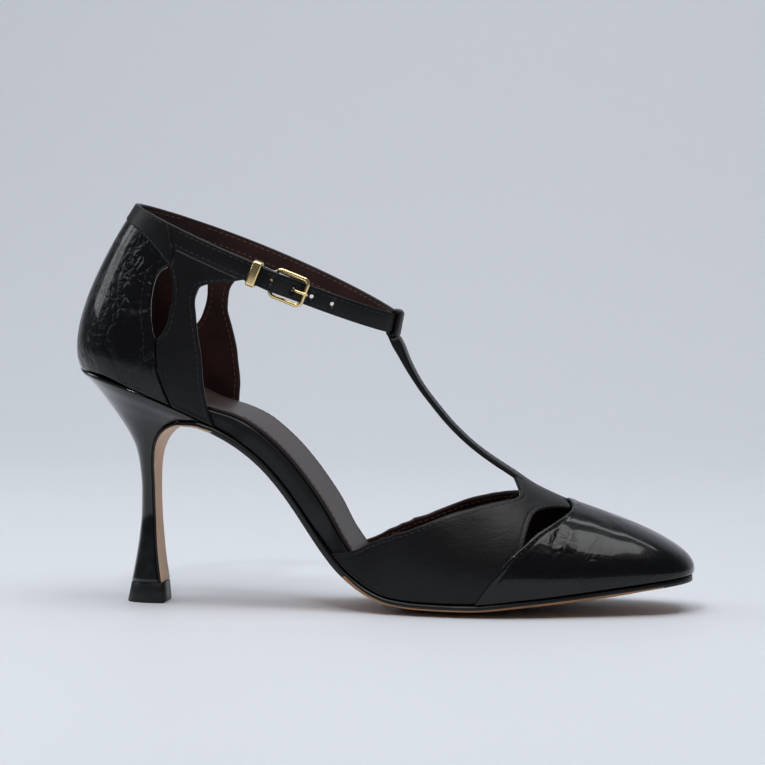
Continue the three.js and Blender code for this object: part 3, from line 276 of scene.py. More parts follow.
# each crinkle has its spot, radius, depth and size
mats = {
    "calf": makeCalf(),
    "strap": makeCalf("strap_calf", 0.0024, 0.4, 0.05, 0.08),
    "counter": makePatent("croc_counter", 15, 0.26, (1, 1, 0.75), crinkles=(
        ((26, 20, 132), 11, 0.34, 4.6), ((20, 23, 122), 10, 0.3, 5.6), ((24, 24, 110), 8, 0.16, 4.0))),
    "cap": makePatent("croc_cap", 21, 0.07, (1.25, 0.8, 1), 0.3, crinkles=(
        ((191, 26, 28), 8, 0.3, 3.6), ((187, 30, 21), 6, 0.22, 3.2), ((203, 27, 21), 6, 0.14, 3.8))),
    "lacquer": makeLacquer(),
    "edge": makePlain("edge_paint", (0.003, 0.003, 0.0034), 0.38, 0.02),
    "lining": makePlain("lining", (0.028, 0.0095, 0.0075), 0.55, 0.06, 0.8, 0.3, shine=0.25),
    "tan": makePlain("sole_leather", (0.40, 0.205, 0.092), 0.5, 0.03, 0.5, 0.14),
    # painted light: the same sole leather in a lighter tone, for the flap down the heel's front
    "litBreast": makePlain("sole_leather_lit", (0.66, 0.43, 0.27), 0.5, 0.03, 0.5, 0.1),
    "sock": makePlain("sock_leather", (0.05, 0.034, 0.029), 0.45, 0.06, 0.7, 0.22, 0.05, shine=0.25),
    # painted shade: a darker copy of the sock leather for its sides and underside, where it meets the upper
    "sockRimShade": makePlain("sock_rim", (0.012, 0.008, 0.007), 0.5, 0.05, 0.7, 0.2, shine=0.3),
    "rubber": makePlain("rubber", (0.005, 0.005, 0.0055), 0.42, 0.05, 0.5, 0.2),
    "gold": makePlain("gold", (0.92, 0.69, 0.33), 0.15, 0.01, 0.8, 0.05, 0.0, 1.0),
    "thread": makePlain("thread", (0.012, 0.012, 0.014), 0.45, 0.02, shine=0.5),
    "liningThread": makePlain("lining_thread", (0.12, 0.06, 0.043), 0.6, 0.02),
}
print("materials done")


# floor and light, in metres of the row frame
backdrop = {
    "half": 3.0, "front": -2.2, "depth": 1.6, "height": 2.6, "bend": 0.9, "steps": 12,
    "color": rgb(0.745, 0.77, 0.82), "rough": 0.55, "shine": 0.35,
}
lights = {  # place, target, size, power and colour
    "ceiling": ((0.0, -0.25, 1.45), (0, -0.1, 0), (1.6, 1.0), 16.3, (0.98, 0.99, 1)),
    "left": ((-1.2, 0.1, 0.85), (0, 0, 0.08), (0.45, 0.7), 3.0, (0.93, 0.97, 1)),
    "wall": ((0.0, 0.8, 1.9), (0, 1.6, 0.9), (2.4, 0.4), 10, (0.98, 0.99, 1)),
    "spark": ((-0.12, -0.75, 1.05), (0, 0, 0.05), (0.12, 0.12), 2.2, (1, 1, 1)),
}
sky = {"color": (0.78, 0.83, 0.92, 1), "strength": 0.12}


def makeBackdrop(s):
    look = Look("backdrop")
    look.finish(s["color"], s["rough"], None, s["shine"])
    profile = [(s["front"], 0.0)]
    for k in range(s["steps"] + 1):
        a = math.radians(90 * k / s["steps"])
        y, z = s["depth"] - s["bend"] + s["bend"] * math.sin(a), s["bend"] - s["bend"] * math.cos(a)
        profile.append((y, z))
    profile.append((s["depth"], s["height"]))
    verts = [(x, y, z) for y, z in profile for x in (-s["half"], s["half"])]
    faces = [(2 * i, 2 * i + 1, 2 * i + 3, 2 * i + 2) for i in range(len(profile) - 1)]
    mesh = bpy.data.meshes.new("backdrop")
    mesh.from_pydata(verts, [], faces)
    mesh.polygons.foreach_set("use_smooth", [True] * len(faces))
    mesh.materials.append(look.material)
    floor = bpy.data.objects.new("backdrop", mesh)
    bpy.context.scene.collection.objects.link(floor)


def makeLight(name, spot, target, size, power, color):
    data = bpy.data.lights.new(name, "AREA")
    data.shape = "RECTANGLE"
    data.size, data.size_y = size
    data.energy = power
    data.color = color
    lamp = bpy.data.objects.new(name, data)
    lamp.location = spot
    lamp.rotation_mode = "QUATERNION"
    lamp.rotation_quaternion = (Vector(target) - Vector(spot)).to_track_quat("-Z", "Y")
    bpy.context.scene.collection.objects.link(lamp)


def makeSky(s):
    world = bpy.data.worlds.new("world")
    world.use_nodes = True
    background = world.node_tree.nodes["Background"]
    background.inputs["Color"].default_value = s["color"]
    background.inputs["Strength"].default_value = s["strength"]
    bpy.context.scene.world = world


makeBackdrop(backdrop)
for name, values in lights.items():
    makeLight(name, *values)
makeSky(sky)
bpy.context.scene.view_settings.view_transform = "Standard"
print("stage done")

# curves and surfaces of the shoe, the same as the solids' own
loop = {
    "back": 22.6, "length": 104, "half": 25, "backHeight": 156.7, "fall": 43, "lean": 22, "swing": 11,
    "sag": 1.7, "arch": 2.4, "width": 7.8,
}


def curve(at, values):  # smooth through the points, without overshoot
    x, y = np.array(at, float), np.array(values, float)
    step = np.diff(y) / np.diff(x)
    slope = np.empty_like(y)
    slope[0], slope[-1] = step[0], step[-1]
    a, b = step[:-1], step[1:]
    slope[1:-1] = np.where(a * b <= 0, 0, 2 * a * b / np.where(a + b == 0, 1, a + b))

    def run(t):
        t = np.clip(np.asarray(t, float), x[0], x[-1])
        i = np.clip(np.searchsorted(x, t, side="left") - 1, 0, len(x) - 2)
        w = x[i + 1] - x[i]
        s = (t - x[i]) / w
        low = (1 + 2 * s) * (1 - s) ** 2 * y[i] + s * (1 - s) ** 2 * w * slope[i]
        return low + s * s * (3 - 2 * s) * y[i + 1] + s * s * (s - 1) * w * slope[i + 1]

    return run


def smooth(low, high, value):
    t = np.clip((np.asarray(value, float) - low) / (high - low), 0, 1)
    return t * t * (3 - 2 * t)


def mix(a, b, t):
    return a + (b - a) * t


def unit(v):
    return v / np.maximum(np.linalg.norm(v, axis=-1, keepdims=True), 1e-12)


def xyz(x, y, z):
    return np.stack(np.broadcast_arrays(x, y, z), axis=-1).astype(float)


outline = {
    "at": (0.0, 0.125, 0.2375, 0.31, 0.39, 0.458, 0.52, 0.583, 0.646, 0.7, 0.77, 0.833, 0.896, 0.958, 1.0),
    "outer": [1.0, 1.01, 0.985] + [1.02, 1.0, 1.11] + [0.84, 0.94, 1.0, 0.99, 0.915, 0.8] + [1.22, 0.96, 0.8],
    "inner": [1.0, 1.0, 0.9] + [1.08, 1.0, 1.17] + [0.74, 0.89, 0.98, 1.0, 0.955, 0.86] + [1.32, 1.05, 0.88],
}


def halfCurve(side, waist):
    base = [last["seatHalf"]] * 3 + [last[waist]] * 3 + [last["ballHalf"]] * 6 + [last["toeHalf"]] * 3
    return curve(outline["at"], np.array(outline[side]) * base)


outerHalf, innerHalf = halfCurve("outer", "waistOuter"), halfCurve("inner", "waistInner")


def bodyHalf(x, side):
    return np.where(side < 0, outerHalf(x / last["length"]), innerHalf(x / last["length"]))


def halfWidth(x, side):
    back = np.clip(1 - x / last["heelRounding"], 0, 1)
    front = np.clip((x - last["length"] + last["toeRounding"]) / last["toeRounding"], 0, 1)
    return bodyHalf(x, side) * np.sqrt(1 - back ** 2) * (1 - front ** 2.5) ** 0.4


feather = {
    "at": (0.0, 0.054, 0.104, 0.165, 0.2125, 0.2375, 0.266, 0.2925, 0.321, 0.35, 0.375, 0.4, 0.421, 0.445,
        0.471, 0.496, 0.525, 0.567, 0.617, 1.0),
    "rise": (1.0, 0.97, 0.913, 0.842, 0.782, 0.75, 0.708, 0.658, 0.59, 0.5, 0.406, 0.303, 0.221, 0.143,
        0.083, 0.043, 0.016, 0.003, 0.0, 0.0),
    "springAt": (0, 0.617, 0.654, 0.742, 0.817, 0.892, 0.967, 1.0),
    "spring": (0, 0, 0, 0.2, 0.41, 0.65, 0.9, 1.0),
}
riseAt = curve(feather["at"], feather["rise"])
springAt = curve(feather["springAt"], feather["spring"])


def featherZ(x):
    at = np.asarray(x, float) / last["length"]
    low, high = last["featherHeight"], last["seatHeight"]
    return low + riseAt(at) * (high - low) + springAt(at) * last["toeSpring"]


def featherNormal(x):
    slope = featherZ(x + 0.5) - featherZ(x - 0.5)
    return unit(xyz(-slope, 0, 1))


# the edge of one side in even shares of its length: shares, places and directions
def edgeTable(side, start, end, fine=900, count=601):
    k = np.linspace(0, 1, fine)
    x = mix(start, end, 1 - np.cos(k * math.pi / 2))
    p = np.stack([x, side * halfWidth(x, side)], axis=1)
    length = np.concatenate([[0], np.cumsum(np.linalg.norm(np.diff(p, axis=0), axis=1))])
    share = length / length[-1]
    even = np.linspace(0, 1, count)
    q = np.stack([np.interp(even, share, p[:, 0]), np.interp(even, share, p[:, 1])], axis=1)
    t = unit(np.gradient(q, axis=0))
    return even, q, t


def onEdge(tables, side, a):
    out = []
    for part in (1, 2):
        for c in (0, 1):
            low = np.interp(a, tables[-1][0], tables[-1][part][:, c])
            high = np.interp(a, tables[1][0], tables[1][part][:, c])
            out.append(np.where(side < 0, low, high))
    return out


def bezier(p0, p1, p2, p3, t):
    t = np.asarray(t, float)[..., None]
    return (1 - t) ** 3 * p0 + 3 * t * (1 - t) ** 2 * p1 + 3 * t * t * (1 - t) * p2 + t ** 3 * p3


ridge = {
    "at": (0.45, 0.5, 0.542, 0.583, 0.625, 0.667, 0.696, 0.725, 0.752, 0.792, 0.817, 0.846),
    "z": (1.8, 1.617, 1.467, 1.308, 1.147, 1.003, 0.923, 0.857, 0.793, 0.72, 0.683, 0.643),
}
ridgeShare = curve(ridge["at"], ridge["z"])


def ridgeZ(x):
    return last["instepHeight"] * ridgeShare(np.asarray(x, float) / last["length"])


ribs = {
    "at": (0, 0.12, 0.3, 0.5, 0.7, 0.85, 1),
    "ridge": (0.8375, 0.829, 0.792, 0.729, 0.633, 0.558, 0.467),
    "rise": (0.34, 0.36, 0.4, 0.42, 0.42, 0.4, 0.36),
    "bulge": (0.098, 0.109, 0.149, 0.204, 0.217, 0.19, 0.136),
    "crest": (0.52, 0.52, 0.55, 0.56, 0.56, 0.56, 0.56), "wingEnd": 0.425,
}
rib = {k: curve(ribs["at"], ribs[k]) for k in ("ridge", "rise", "bulge", "crest")}
foreTables = {s: edgeTable(s, last["length"], ribs["wingEnd"] * last["length"]) for s in (-1, 1)}


# forepart: u from the outer wing (-1) round the toe to the inner wing (1), v from feather (0) to ridge (1)
def fore(u, v):
    u, v = np.broadcast_arrays(np.asarray(u, float), np.asarray(v, float))
    side = np.where(u < 0, -1, 1)
    a = np.minimum(np.abs(u), 1)
    x, y, tx, ty = onEdge(foreTables, side, a)
    p0 = xyz(x, y, featherZ(x) + last["lift"])
    out = xyz(-ty * -side, tx * -side, 0)
    rx = rib["ridge"](a) * last["length"]
    p3 = xyz(rx, 0, ridgeZ(rx))
    slope = (ridgeZ(rx + 1) - ridgeZ(rx - 1)) / 2
    reach = (p0 - p3) * [1, 1, 0]
    up = (rib["rise"](a) * (p3[..., 2] - p0[..., 2]))[..., None]
    p1 = p0 + featherNormal(x) * up + out * (rib["bulge"](a) * last["ballHalf"])[..., None]
    p2 = p3 + reach * rib["crest"](a)[..., None]
    p2[..., 2] += slope * reach[..., 0] * rib["crest"](a)
    return bezier(p0, p1, p2, p3, v)


loopCentre = loop["back"] + loop["length"] / 2


def loopPoint(theta):
    x = loopCentre - loop["length"] / 2 * np.cos(theta)
    side = np.sin(theta)
    bend = np.where(side > 0, loop["arch"], -loop["sag"])
    z = loop["backHeight"] - loop["fall"] * (x - loop["back"]) / loop["length"] + bend * side ** 2
    return xyz(x, loop["half"] * side, z)


def loopFrame(theta):
    theta = np.asarray(theta, float)
    ahead = unit(loopPoint(theta + 0.002) - loopPoint(theta - 0.002))
    tilt = np.radians(loop["lean"] + loop["swing"] * np.cos(theta))
    down = xyz(-np.sin(tilt), 0, -np.cos(tilt))
    down = unit(down - ahead * np.sum(down * ahead, axis=-1, keepdims=True))
    out = unit(np.cross(ahead, down))
    away = (loopPoint(theta) - [loopCentre, 0, 0]) * [1, 1, 0]
    flip = np.sum(out * away, axis=-1, keepdims=True) < 0
    return loopPoint(theta), ahead, down, np.where(flip, -out, out)


loopTheta = math.pi + np.linspace(0, 1, 721) * math.pi
loopLength = np.concatenate([[0], np.cumsum(np.linalg.norm(np.diff(loopPoint(loopTheta), axis=0), axis=1))])


def thetaAt(length):
    length = np.asarray(length, float)
    t = np.interp(np.abs(length), loopLength, np.linspace(0, 1, 721))
    return math.pi + np.sign(length) * t * math.pi


def lengthOf(theta):
    theta = np.asarray(theta, float)
    t = np.interp(np.abs(theta - math.pi), loopTheta - math.pi, loopLength)
    return np.sign(theta - math.pi) * t


# a point at a length along the loop, a depth below its upper edge and a height out of its face
def onLoop(length, depth, height):
    at, ahead, down, out = loopFrame(thetaAt(length))
    return at + down * np.asarray(depth, float)[..., None] + out * np.asarray(height, float)[..., None]


rears = {
    "at": (0, 0.3, 0.6, 1), "rise": (0.218, 0.28, 0.342, 0.342), "bulge": (0.231, 0.212, 0.173, 0.096),
    "tuck": (0.264, 0.28, 0.311, 0.311), "featherEnd": 0.267, "loopEnd": 0.533,
}
rearAt = {k: curve(rears["at"], rears[k]) for k in ("rise", "bulge", "tuck")}
rearTables = {s: edgeTable(s, 0, rears["featherEnd"] * last["length"]) for s in (-1, 1)}
rearHeight = loop["backHeight"] - last["seatHeight"]
rearSweep = math.acos((loopCentre - loop["back"] - rears["loopEnd"] * loop["length"]) / (loop["length"] / 2))


# rear: s from the outer front (-1) round the back to the inner front (1), t from feather (0) to topline (2)
def rear(s, t):
    s, t = np.broadcast_arrays(np.asarray(s, float), np.asarray(t, float))
    side = np.where(s < 0, -1, 1)
    a = np.minimum(np.abs(s), 1)
    x, y, tx, ty = onEdge(rearTables, side, a)
    p0 = xyz(x, y, featherZ(x) + last["lift"])
    out = xyz(ty * -side, -tx * -side, 0)
    at, ahead, down, _ = loopFrame(np.where(side > 0, rearSweep * a, 2 * math.pi - rearSweep * a))
    p3 = at + down * loop["width"]
    p1 = p0 + out * (rearAt["bulge"](a) * last["seatHalf"])[..., None]
    p1[..., 2] += rearAt["rise"](a) * rearHeight
    p2 = p3 + down * (rearAt["tuck"](a) * rearHeight)[..., None]
    low = bezier(p0, p1, p2, p3, np.minimum(t, 1))
    return low + (at - p3) * np.clip(t - 1, 0, 1)[..., None]


print("surfaces done")


# meshes: kinds gives each face its material, or all have the first one
def makeMesh(name, points, faces, kinds, materials, nodes):
    mesh = bpy.data.meshes.new(name)
    mesh.from_pydata(toRow(points).tolist(), [], [list(map(int, f)) for f in faces])
    for m in materials:
        mesh.materials.append(mats[m])
    mesh.polygons.foreach_set("material_index", list(map(int, kinds or [0] * len(faces))))
    mesh.polygons.foreach_set("use_smooth", [True] * len(faces))
    mesh.validate()
    mesh.update()
    piece = bpy.data.objects.new(name, mesh)
    bpy.context.scene.collection.objects.link(piece)
    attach(piece, "root")
    if nodes:
        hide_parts(*nodes)
    return piece


class Panel:  # leather over grids of surface points, welded where they touch, with a wall and round edges
    def __init__(self, grids, wall, proud=0.0):
        self.wall = wall
        flat = np.concatenate([g.reshape(-1, 3) for g in grids])
        places = np.round(flat * 500).astype(int)  # points within 0.002 mm are one
        _, first, back = np.unique(places, axis=0, return_index=True, return_inverse=True)
        self.points, back = flat[first], back.reshape(-1)
        quads, start, self.ids, p = [], 0, [], self.points
        for g in grids:
            n, m = g.shape[:2]
            ids = back[start:start + n * m].reshape(n, m)
            start += n * m
            self.ids.append(ids)
            q = np.stack([ids[:-1, :-1], ids[:-1, 1:], ids[1:, 1:], ids[1:, :-1]], axis=-1).reshape(-1, 4)
            face = np.cross(p[q[:, 2]] - p[q[:, 0]], p[q[:, 3]] - p[q[:, 1]])
            at = p[q[:, 0]]
            # away from the last's middle line, so that each grid faces out
            away = at - xyz(np.clip(at[:, 0], 26, 200), 0, np.where(at[:, 0] > 100, 0, at[:, 2]))
            quads.append(q if np.sum(face * away) > 0 else q[:, ::-1])
        quads = np.concatenate(quads)
        face = np.cross(p[quads[:, 2]] - p[quads[:, 0]], p[quads[:, 3]] - p[quads[:, 1]])
        self.normals = np.zeros_like(p)
        for k in range(4):
            np.add.at(self.normals, quads[:, k], face)
        self.normals = unit(self.normals)
        self.quads = quads
        ends = {}
        for q in quads.tolist():
            ring = [v for k, v in enumerate(q) if v != q[k - 1]]
            for k, v in enumerate(ring):
                ends[(ring[k - 1], v)] = True
        self.rim = [e for e in ends if (e[1], e[0]) not in ends]
        tree = KDTree(len(self.rim))
        for k, e in enumerate(self.rim):
            tree.insert(p[e[0]].tolist(), k)
        tree.balance()
        self.inset = np.array([tree.find(v)[2] for v in p.tolist()])
        self.height = np.full(len(p), float(proud))

    def solid(self, name, materials, node, round=0.6):
        n = len(self.points)
        t = np.clip(self.inset / round, 0, 1)
        fall = round * 0.8 * (1 - np.sqrt(np.clip(1 - (1 - t) ** 2, 0, 1)))
        outer = self.points + self.normals * (self.height - fall)[:, None]
        inner = self.points - self.normals * (self.wall - 0.6 * fall)[:, None]
        rows = [[v for k, v in enumerate(q) if v != q[k - 1]] for q in self.quads.tolist()]
        rows = [r for r in rows if len(r) > 2]
        faces = rows + [[v + n for v in reversed(r)] for r in rows]
        faces += [[a, a + n, b + n, b] for a, b in self.rim]
        kinds = [0] * len(rows) + [1] * len(rows) + [2] * len(self.rim)
        return makeMesh(name, np.concatenate([outer, inner]), faces, kinds, materials, node)

    # points and normals at an inset from the high (last) or low (first) column of a grid
    def line(self, grid, inset, end, rows, lining=False):
        ids = self.ids[grid][rows[0]:rows[1]]
        height = np.full(len(self.points), -self.wall) if lining else self.height
        surface = (self.points + self.normals * height[:, None])[ids]
        normal = self.normals[ids] * (-1 if lining else 1)
        if end == "high":
            surface, normal = surface[:, ::-1], normal[:, ::-1]
        step = np.linalg.norm(np.diff(surface, axis=1), axis=2)
        d = np.concatenate([np.zeros((len(surface), 1)), np.cumsum(step, axis=1)], axis=1)
        spots, ups = [], []
        for k in range(len(surface)):
            if d[k, -1] > inset * 1.4:
                spots.append([np.interp(inset, d[k], surface[k, :, c]) for c in range(3)])
                ups.append([np.interp(inset, d[k], normal[k, :, c]) for c in range(3)])
        return np.array(spots), unit(np.array(ups))

    def across(self, grid, row, start, end):  # the same along one row
        ids = self.ids[grid][row, start:end]
        return (self.points + self.normals * self.height[:, None])[ids], self.normals[ids]

    def beside(self, inset, width):  # one on a line beside the edge, less on both sides of it
        return np.exp(-((self.inset - inset) / width) ** 2)

    def fold(self, folds):  # start, end, width and depth, on both sides; a depth below zero is a ridge
        for side in (-1, 1):
            for start, end, width, depth in folds:
                a, b = np.array(start, float) * [1, side, 1], np.array(end, float) * [1, side, 1]
                t = np.clip(((self.points - a) @ (b - a)) / np.dot(b - a, b - a), 0, 1)
                d = np.linalg.norm(self.points - (a + t[:, None] * (b - a)), axis=1)
                ends = np.sin(np.clip(t, 0.02, 0.98) * math.pi) ** 0.6
                self.height -= depth * np.exp(-(d / width) ** 2) * ends


# stitches are gathered here and made into one piece of each kind at the end
threads = {"outer": [], "lining": []}
thread = {
    "pitch": 2.5, "long": 1.75, "thick": 0.32, "sink": 0.05, "sides": 6, "endSize": 0.55, "endDrop": 0.5,
    "shoulder": 0.45,
}


def stitch(spots, ups, kind="outer", thick=thread["thick"]):
    pitch, reach = thread["pitch"], thread["long"] / 2
    length = np.concatenate([[0], np.cumsum(np.linalg.norm(np.diff(spots, axis=0), axis=1))])
    count = int((length[-1] - pitch) // pitch)
    for k in range(max(count, 0)):
        mid = (k + 0.5) * pitch + (length[-1] - count * pitch) / 2
        stops = mid - reach, mid, mid + reach
        at = [np.array([np.interp(stop, length, spots[:, c]) for c in range(3)]) for stop in stops]
        up = unit(np.array([np.interp(mid, length, ups[:, c]) for c in range(3)]))
        ahead = unit(at[2] - at[0])
        side = np.cross(up, ahead)
        threads[kind].append((at, side, up, thick / 2))


def sew(panel, grid, seams):  # inset, end, rows, kind and thickness of each line of stitches
    for inset, end, rows, kind, thick in seams:
        stitch(*panel.line(grid, inset, end, rows, kind == "lining"), kind, thick)


def makeThreads(name, kind, material):
    points, faces, n = [], [], thread["sides"]
    for at, side, up, r in threads[kind]:
        base = len(points)
        inner = [mix(at[k], at[1], thread["shoulder"]) for k in (0, 2)]
        ends = thread["endSize"], thread["endDrop"]
        for spot, size, drop in ((at[0], *ends), (inner[0], 1, 0), (inner[1], 1, 0), (at[2], *ends)):
            for k in range(n):
                a = 2 * math.pi * k / n
                lift = r * (0.5 - drop)
                rise = r * size * math.sin(a) + lift - thread["sink"]
                points.append(spot + side * r * size * math.cos(a) + up * rise)
        for ring in range(3):
            for k in range(n):
                q, m = base + ring * n, (k + 1) % n
                faces.append((q + k, q + m, q + n + m, q + n + k))
        faces.append(tuple(base + k for k in reversed(range(n))))
        faces.append(tuple(base + 3 * n + k for k in range(n)))
    return makeMesh(name, points, faces, None, [material], None)


# points and faces through rings of equal count, with each face's place in its ring, or -1 on the ends
def skin(rings, closed=False):
    rings = np.asarray(rings)
    r, n = rings.shape[:2]
    ids = np.arange(r * n).reshape(r, n)
    faces, spots = [], []
    for i in range(r if closed else r - 1):
        a, b = ids[i], ids[(i + 1) % r]
        for k in range(n):
            faces.append([a[k], a[(k + 1) % n], b[(k + 1) % n], b[k]])
            spots.append(k)
    if not closed:
        faces += [list(ids[0][::-1]), list(ids[-1])]
        spots += [-1, -1]
    points = rings.reshape(-1, 3)
    volume = 0
    for f in faces:
        for k in range(1, len(f) - 1):
            volume += np.dot(points[f[0]], np.cross(points[f[k]], points[f[k + 1]]))
    if volume < 0:
        faces = [f[::-1] for f in faces]
    return points, faces, spots


def roundedBox(low, high, inner, outer, r, steps, grow=0.0, first=0):  # outline, counted from a corner
    a0, a1, b0, b1 = low + r, high - r, inner + r, outer - r
    corners = ((a0, b0, 180), (a1, b0, 270), (a1, b1, 0), (a0, b1, 90))
    spots = []
    for k in range(4):
        a, b, start = corners[(first + k) % 4]
        for i in range(steps + 1):
            turn = math.radians(start + 90 * i / steps)
            spots.append((a + (r + grow) * math.cos(turn), b + (r + grow) * math.sin(turn)))
    return spots


# cut through a strap in depth and height, with kind 0 on the outer face, 1 on the inner and 2 on the edges
def section(low, high, inner, outer, round=0.6, steps=3):
    r = min(round, (outer - inner) * 0.45)
    spots = roundedBox(low, high, inner, outer, r, steps, first=2)
    kinds = []
    for (a, b), (c, d) in zip(spots, spots[1:] + spots[:1]):
        flat = abs(b - d) < 1e-6 and abs(a - c) > r
        kinds.append((0 if (b + d) / 2 > (inner + outer) / 2 else 1) if flat else 2)
    return spots, kinds


# vamp with its T-strap and loop
vamp = {
    "lowU": (0.995, 0.96, 0.91, 0.85, 0.78, 0.71, 0.66, 0.622, 0.604, 0.588, 0.57, 0.551, 0.523, 0.494,
        0.486, 0.478, 0.467, 0.45, 0.42, 0.38, 0.345, 0.317, 0.306, 0.294),
    "lowV": (0.006, 0.005, 0.003, 0, 0, 0, 0, 0, 0.05, 0.098, 0.152, 0.209, 0.291, 0.366, 0.44, 0.515,
        0.585, 0.642, 0.7, 0.748, 0.78, 0.805, 0.89, 1.0),
    "highU": (0.99, 0.965, 0.925, 0.865, 0.79, 0.72, 0.67, 0.632, 0.61, 0.592, 0.576, 0.56, 0.54, 0.524,
        0.513, 0.508, 0.508, 0.513, 0.52, 0.527, 0.532, 0.535, 0.537, 0.538),
    "highV": (0.024, 0.09, 0.168, 0.226, 0.284, 0.366, 0.44, 0.499, 0.535, 0.562, 0.588, 0.612, 0.642,
        0.67, 0.7, 0.732, 0.766, 0.802, 0.845, 0.89, 0.925, 0.955, 0.98, 1.0),
    "lap": 0.016, "lapStart": (7, 7.6), "lapEnd": (12, 13.2), "rows": 150, "cols": 40, "stitch": 1.9,
    "seams": (
        (1.9, "high", (6, 146), "outer", 0.32), (1.9, "low", (50, 143), "outer", 0.32),
        (2.0, "high", (8, 144), "lining", 0.32), (4.2, "high", (14, 140), "lining", 0.32),
    ),
    "folds": (
        ((148, 33, 24), (158, 31, 34), 2.6, 0.22), ((153, 34, 20), (164, 31, 31), 2.4, -0.2),
        ((140, 33, 20), (150, 32, 31), 2.8, 0.2),
        ((160, 33, 17), (168, 30, 29), 2.2, 0.2), ((132, 31, 16), (141, 31, 26), 3.0, -0.18),
    ),
}


def vampGrid(side):
    count = len(vamp["lowU"])
    q = np.linspace(0, count - 1, vamp["rows"])[:, None]
    edges = (curve(np.arange(count), vamp[k])(q) for k in ("lowU", "lowV", "highU", "highV"))
    lowU, lowV, highU, highV = edges
    lowU = lowU - vamp["lap"] * smooth(*vamp["lapStart"], q) * (1 - smooth(*vamp["lapEnd"], q))
    k = np.linspace(0, 1, vamp["cols"])[None, :]
    return fore(side * mix(lowU, highU, k), np.clip(mix(lowV, highV, k), 0, 1))


def makeVamp():
    upper = Panel([vampGrid(1), vampGrid(-1)], last["wall"])
    upper.fold(vamp["folds"])
    upper.height -= 0.1 * upper.beside(vamp["stitch"], 0.45)
    upper.solid("vamp_skin", ["calf", "lining", "calf"], ["vamp"])
    for g in (0, 1):
        sew(upper, g, vamp["seams"])


makeVamp()
print("vamp done")

stem = {
    "along": (0, 0.09, 0.216, 0.336, 0.478, 0.62, 0.742, 0.845, 0.922, 0.971),
    "thick": (1.0, 1.0, 1.0, 1.0, 1.0, 1.0, 1.0, 1.05, 1.4, 2.0),
    "wide": (1.3, 1.25, 1.15, 1.08, 1.0, 1.0, 1.0, 1.0, 1.0, 1.0),
    "upAt": (0.216, 0.336, 0.478, 0.62, 0.742, 0.845, 0.922, 0.971, 0.985),
    "up": (0.122, 0.197, 0.298, 0.427, 0.567, 0.702, 0.84, 0.959, 0.985),
    "half": 4.6, "leather": 1.9, "sink": 0.5, "loopWall": 1.2, "strap": 1.6, "steps": 60, "end": 0.985,
    "lying": (0, 0.045, 0.09), "foot": 0.7625, "stitch": 1.5,
}


def makeStem():
    footX = stem["foot"] * last["length"]
    foot = np.array([footX, 0, float(ridgeZ(footX))])
    reach = last["gap"] + stem["loopWall"]
    top = onLoop(0, loop["width"] + reach, reach)
    a = np.linspace(0, stem["end"], stem["steps"])
    x = mix(foot[0], top[0], a)
    low = ridgeZ(mix(foot[0], top[0], np.array(stem["lying"]))) - stem["sink"]
    z = curve([*stem["lying"], *stem["upAt"]], [*low, *mix(foot[2], top[2], np.array(stem["up"]))])(a)
    spots = xyz(x, 0, z)
    t = unit(np.gradient(spots, axis=0))
    out = xyz(t[:, 2], 0, -t[:, 0])
    half = curve(stem["along"], stem["wide"])(a) * stem["half"]
    thick = curve(stem["along"], stem["thick"])(a) * stem["leather"]
    rings = []
    for i in range(len(a)):
        sec, kinds = section(-half[i], half[i], -thick[i], 0)
        rings.append([spots[i] + out[i] * h + [0, d, 0] for d, h in sec])
    # the last ring lies inside the loop's foot
    depth = loop["width"] + last["gap"] + 0.5 * stem["loopWall"]
    front = onLoop(0, depth, last["gap"] + 0.9 * stem["loopWall"])
    behind = onLoop(0, depth, -stem["strap"] - last["gap"] - 0.9 * stem["loopWall"])
    sec, kinds = section(-stem["half"] + 0.2, stem["half"] - 0.2, 0, 1, 0.3)
    rings.append([mix(behind, front, h) + [0, d, 0] for d, h in sec])
    points, faces, spotsOf = skin(rings)
    kinds = [kinds[k] if k >= 0 else 2 for k in spotsOf]
    makeMesh("t_strap", points, faces, kinds, ["calf", "lining", "calf"], [])
    for side in (-1, 1):
        line = spots + xyz(0, side * (half - stem["stitch"]), 0)
        stitch(line[6:-3], out[6:-3], thick=0.24)


band = {"round": 0.4, "corners": 5, "tuck": 0.25, "ease": 0.35, "clear": 0.3}


# band round the straps between an inner and an outer height, its ends rounded by the tuck
def makeBand(name, start, end, inner, outer, wall, material, nodes, steps=10):
    low, high = -band["clear"], loop["width"] + band["clear"]
    lengths = np.linspace(start, end, steps)
    ease = np.minimum(np.linspace(0, 1, steps), np.linspace(1, 0, steps)) * (end - start)
    ease = np.clip(1 - ease / band["ease"], 0, 1)
    tuck = band["tuck"] * (1 - np.sqrt(np.clip(1 - ease ** 2, 0, 1)))

    def ring(length, grow):
        spots = roundedBox(low, high, inner, outer, band["round"], band["corners"], grow)
        return [onLoop(length, depth, height) for depth, height in spots]

    rows = [ring(at, wall - t) for at, t in zip(lengths, tuck)] + [ring(at, 0) for at in lengths[::-1]]
    points, faces, _ = skin(rows, closed=True)
    return makeMesh(name, points, faces, None, [material], nodes)


makeStem()
makeBand("t_strap_loop", -stem["half"], stem["half"], -stem["strap"] - 0.3, 0.3, stem["loopWall"], "calf", [])
print("t-strap done")

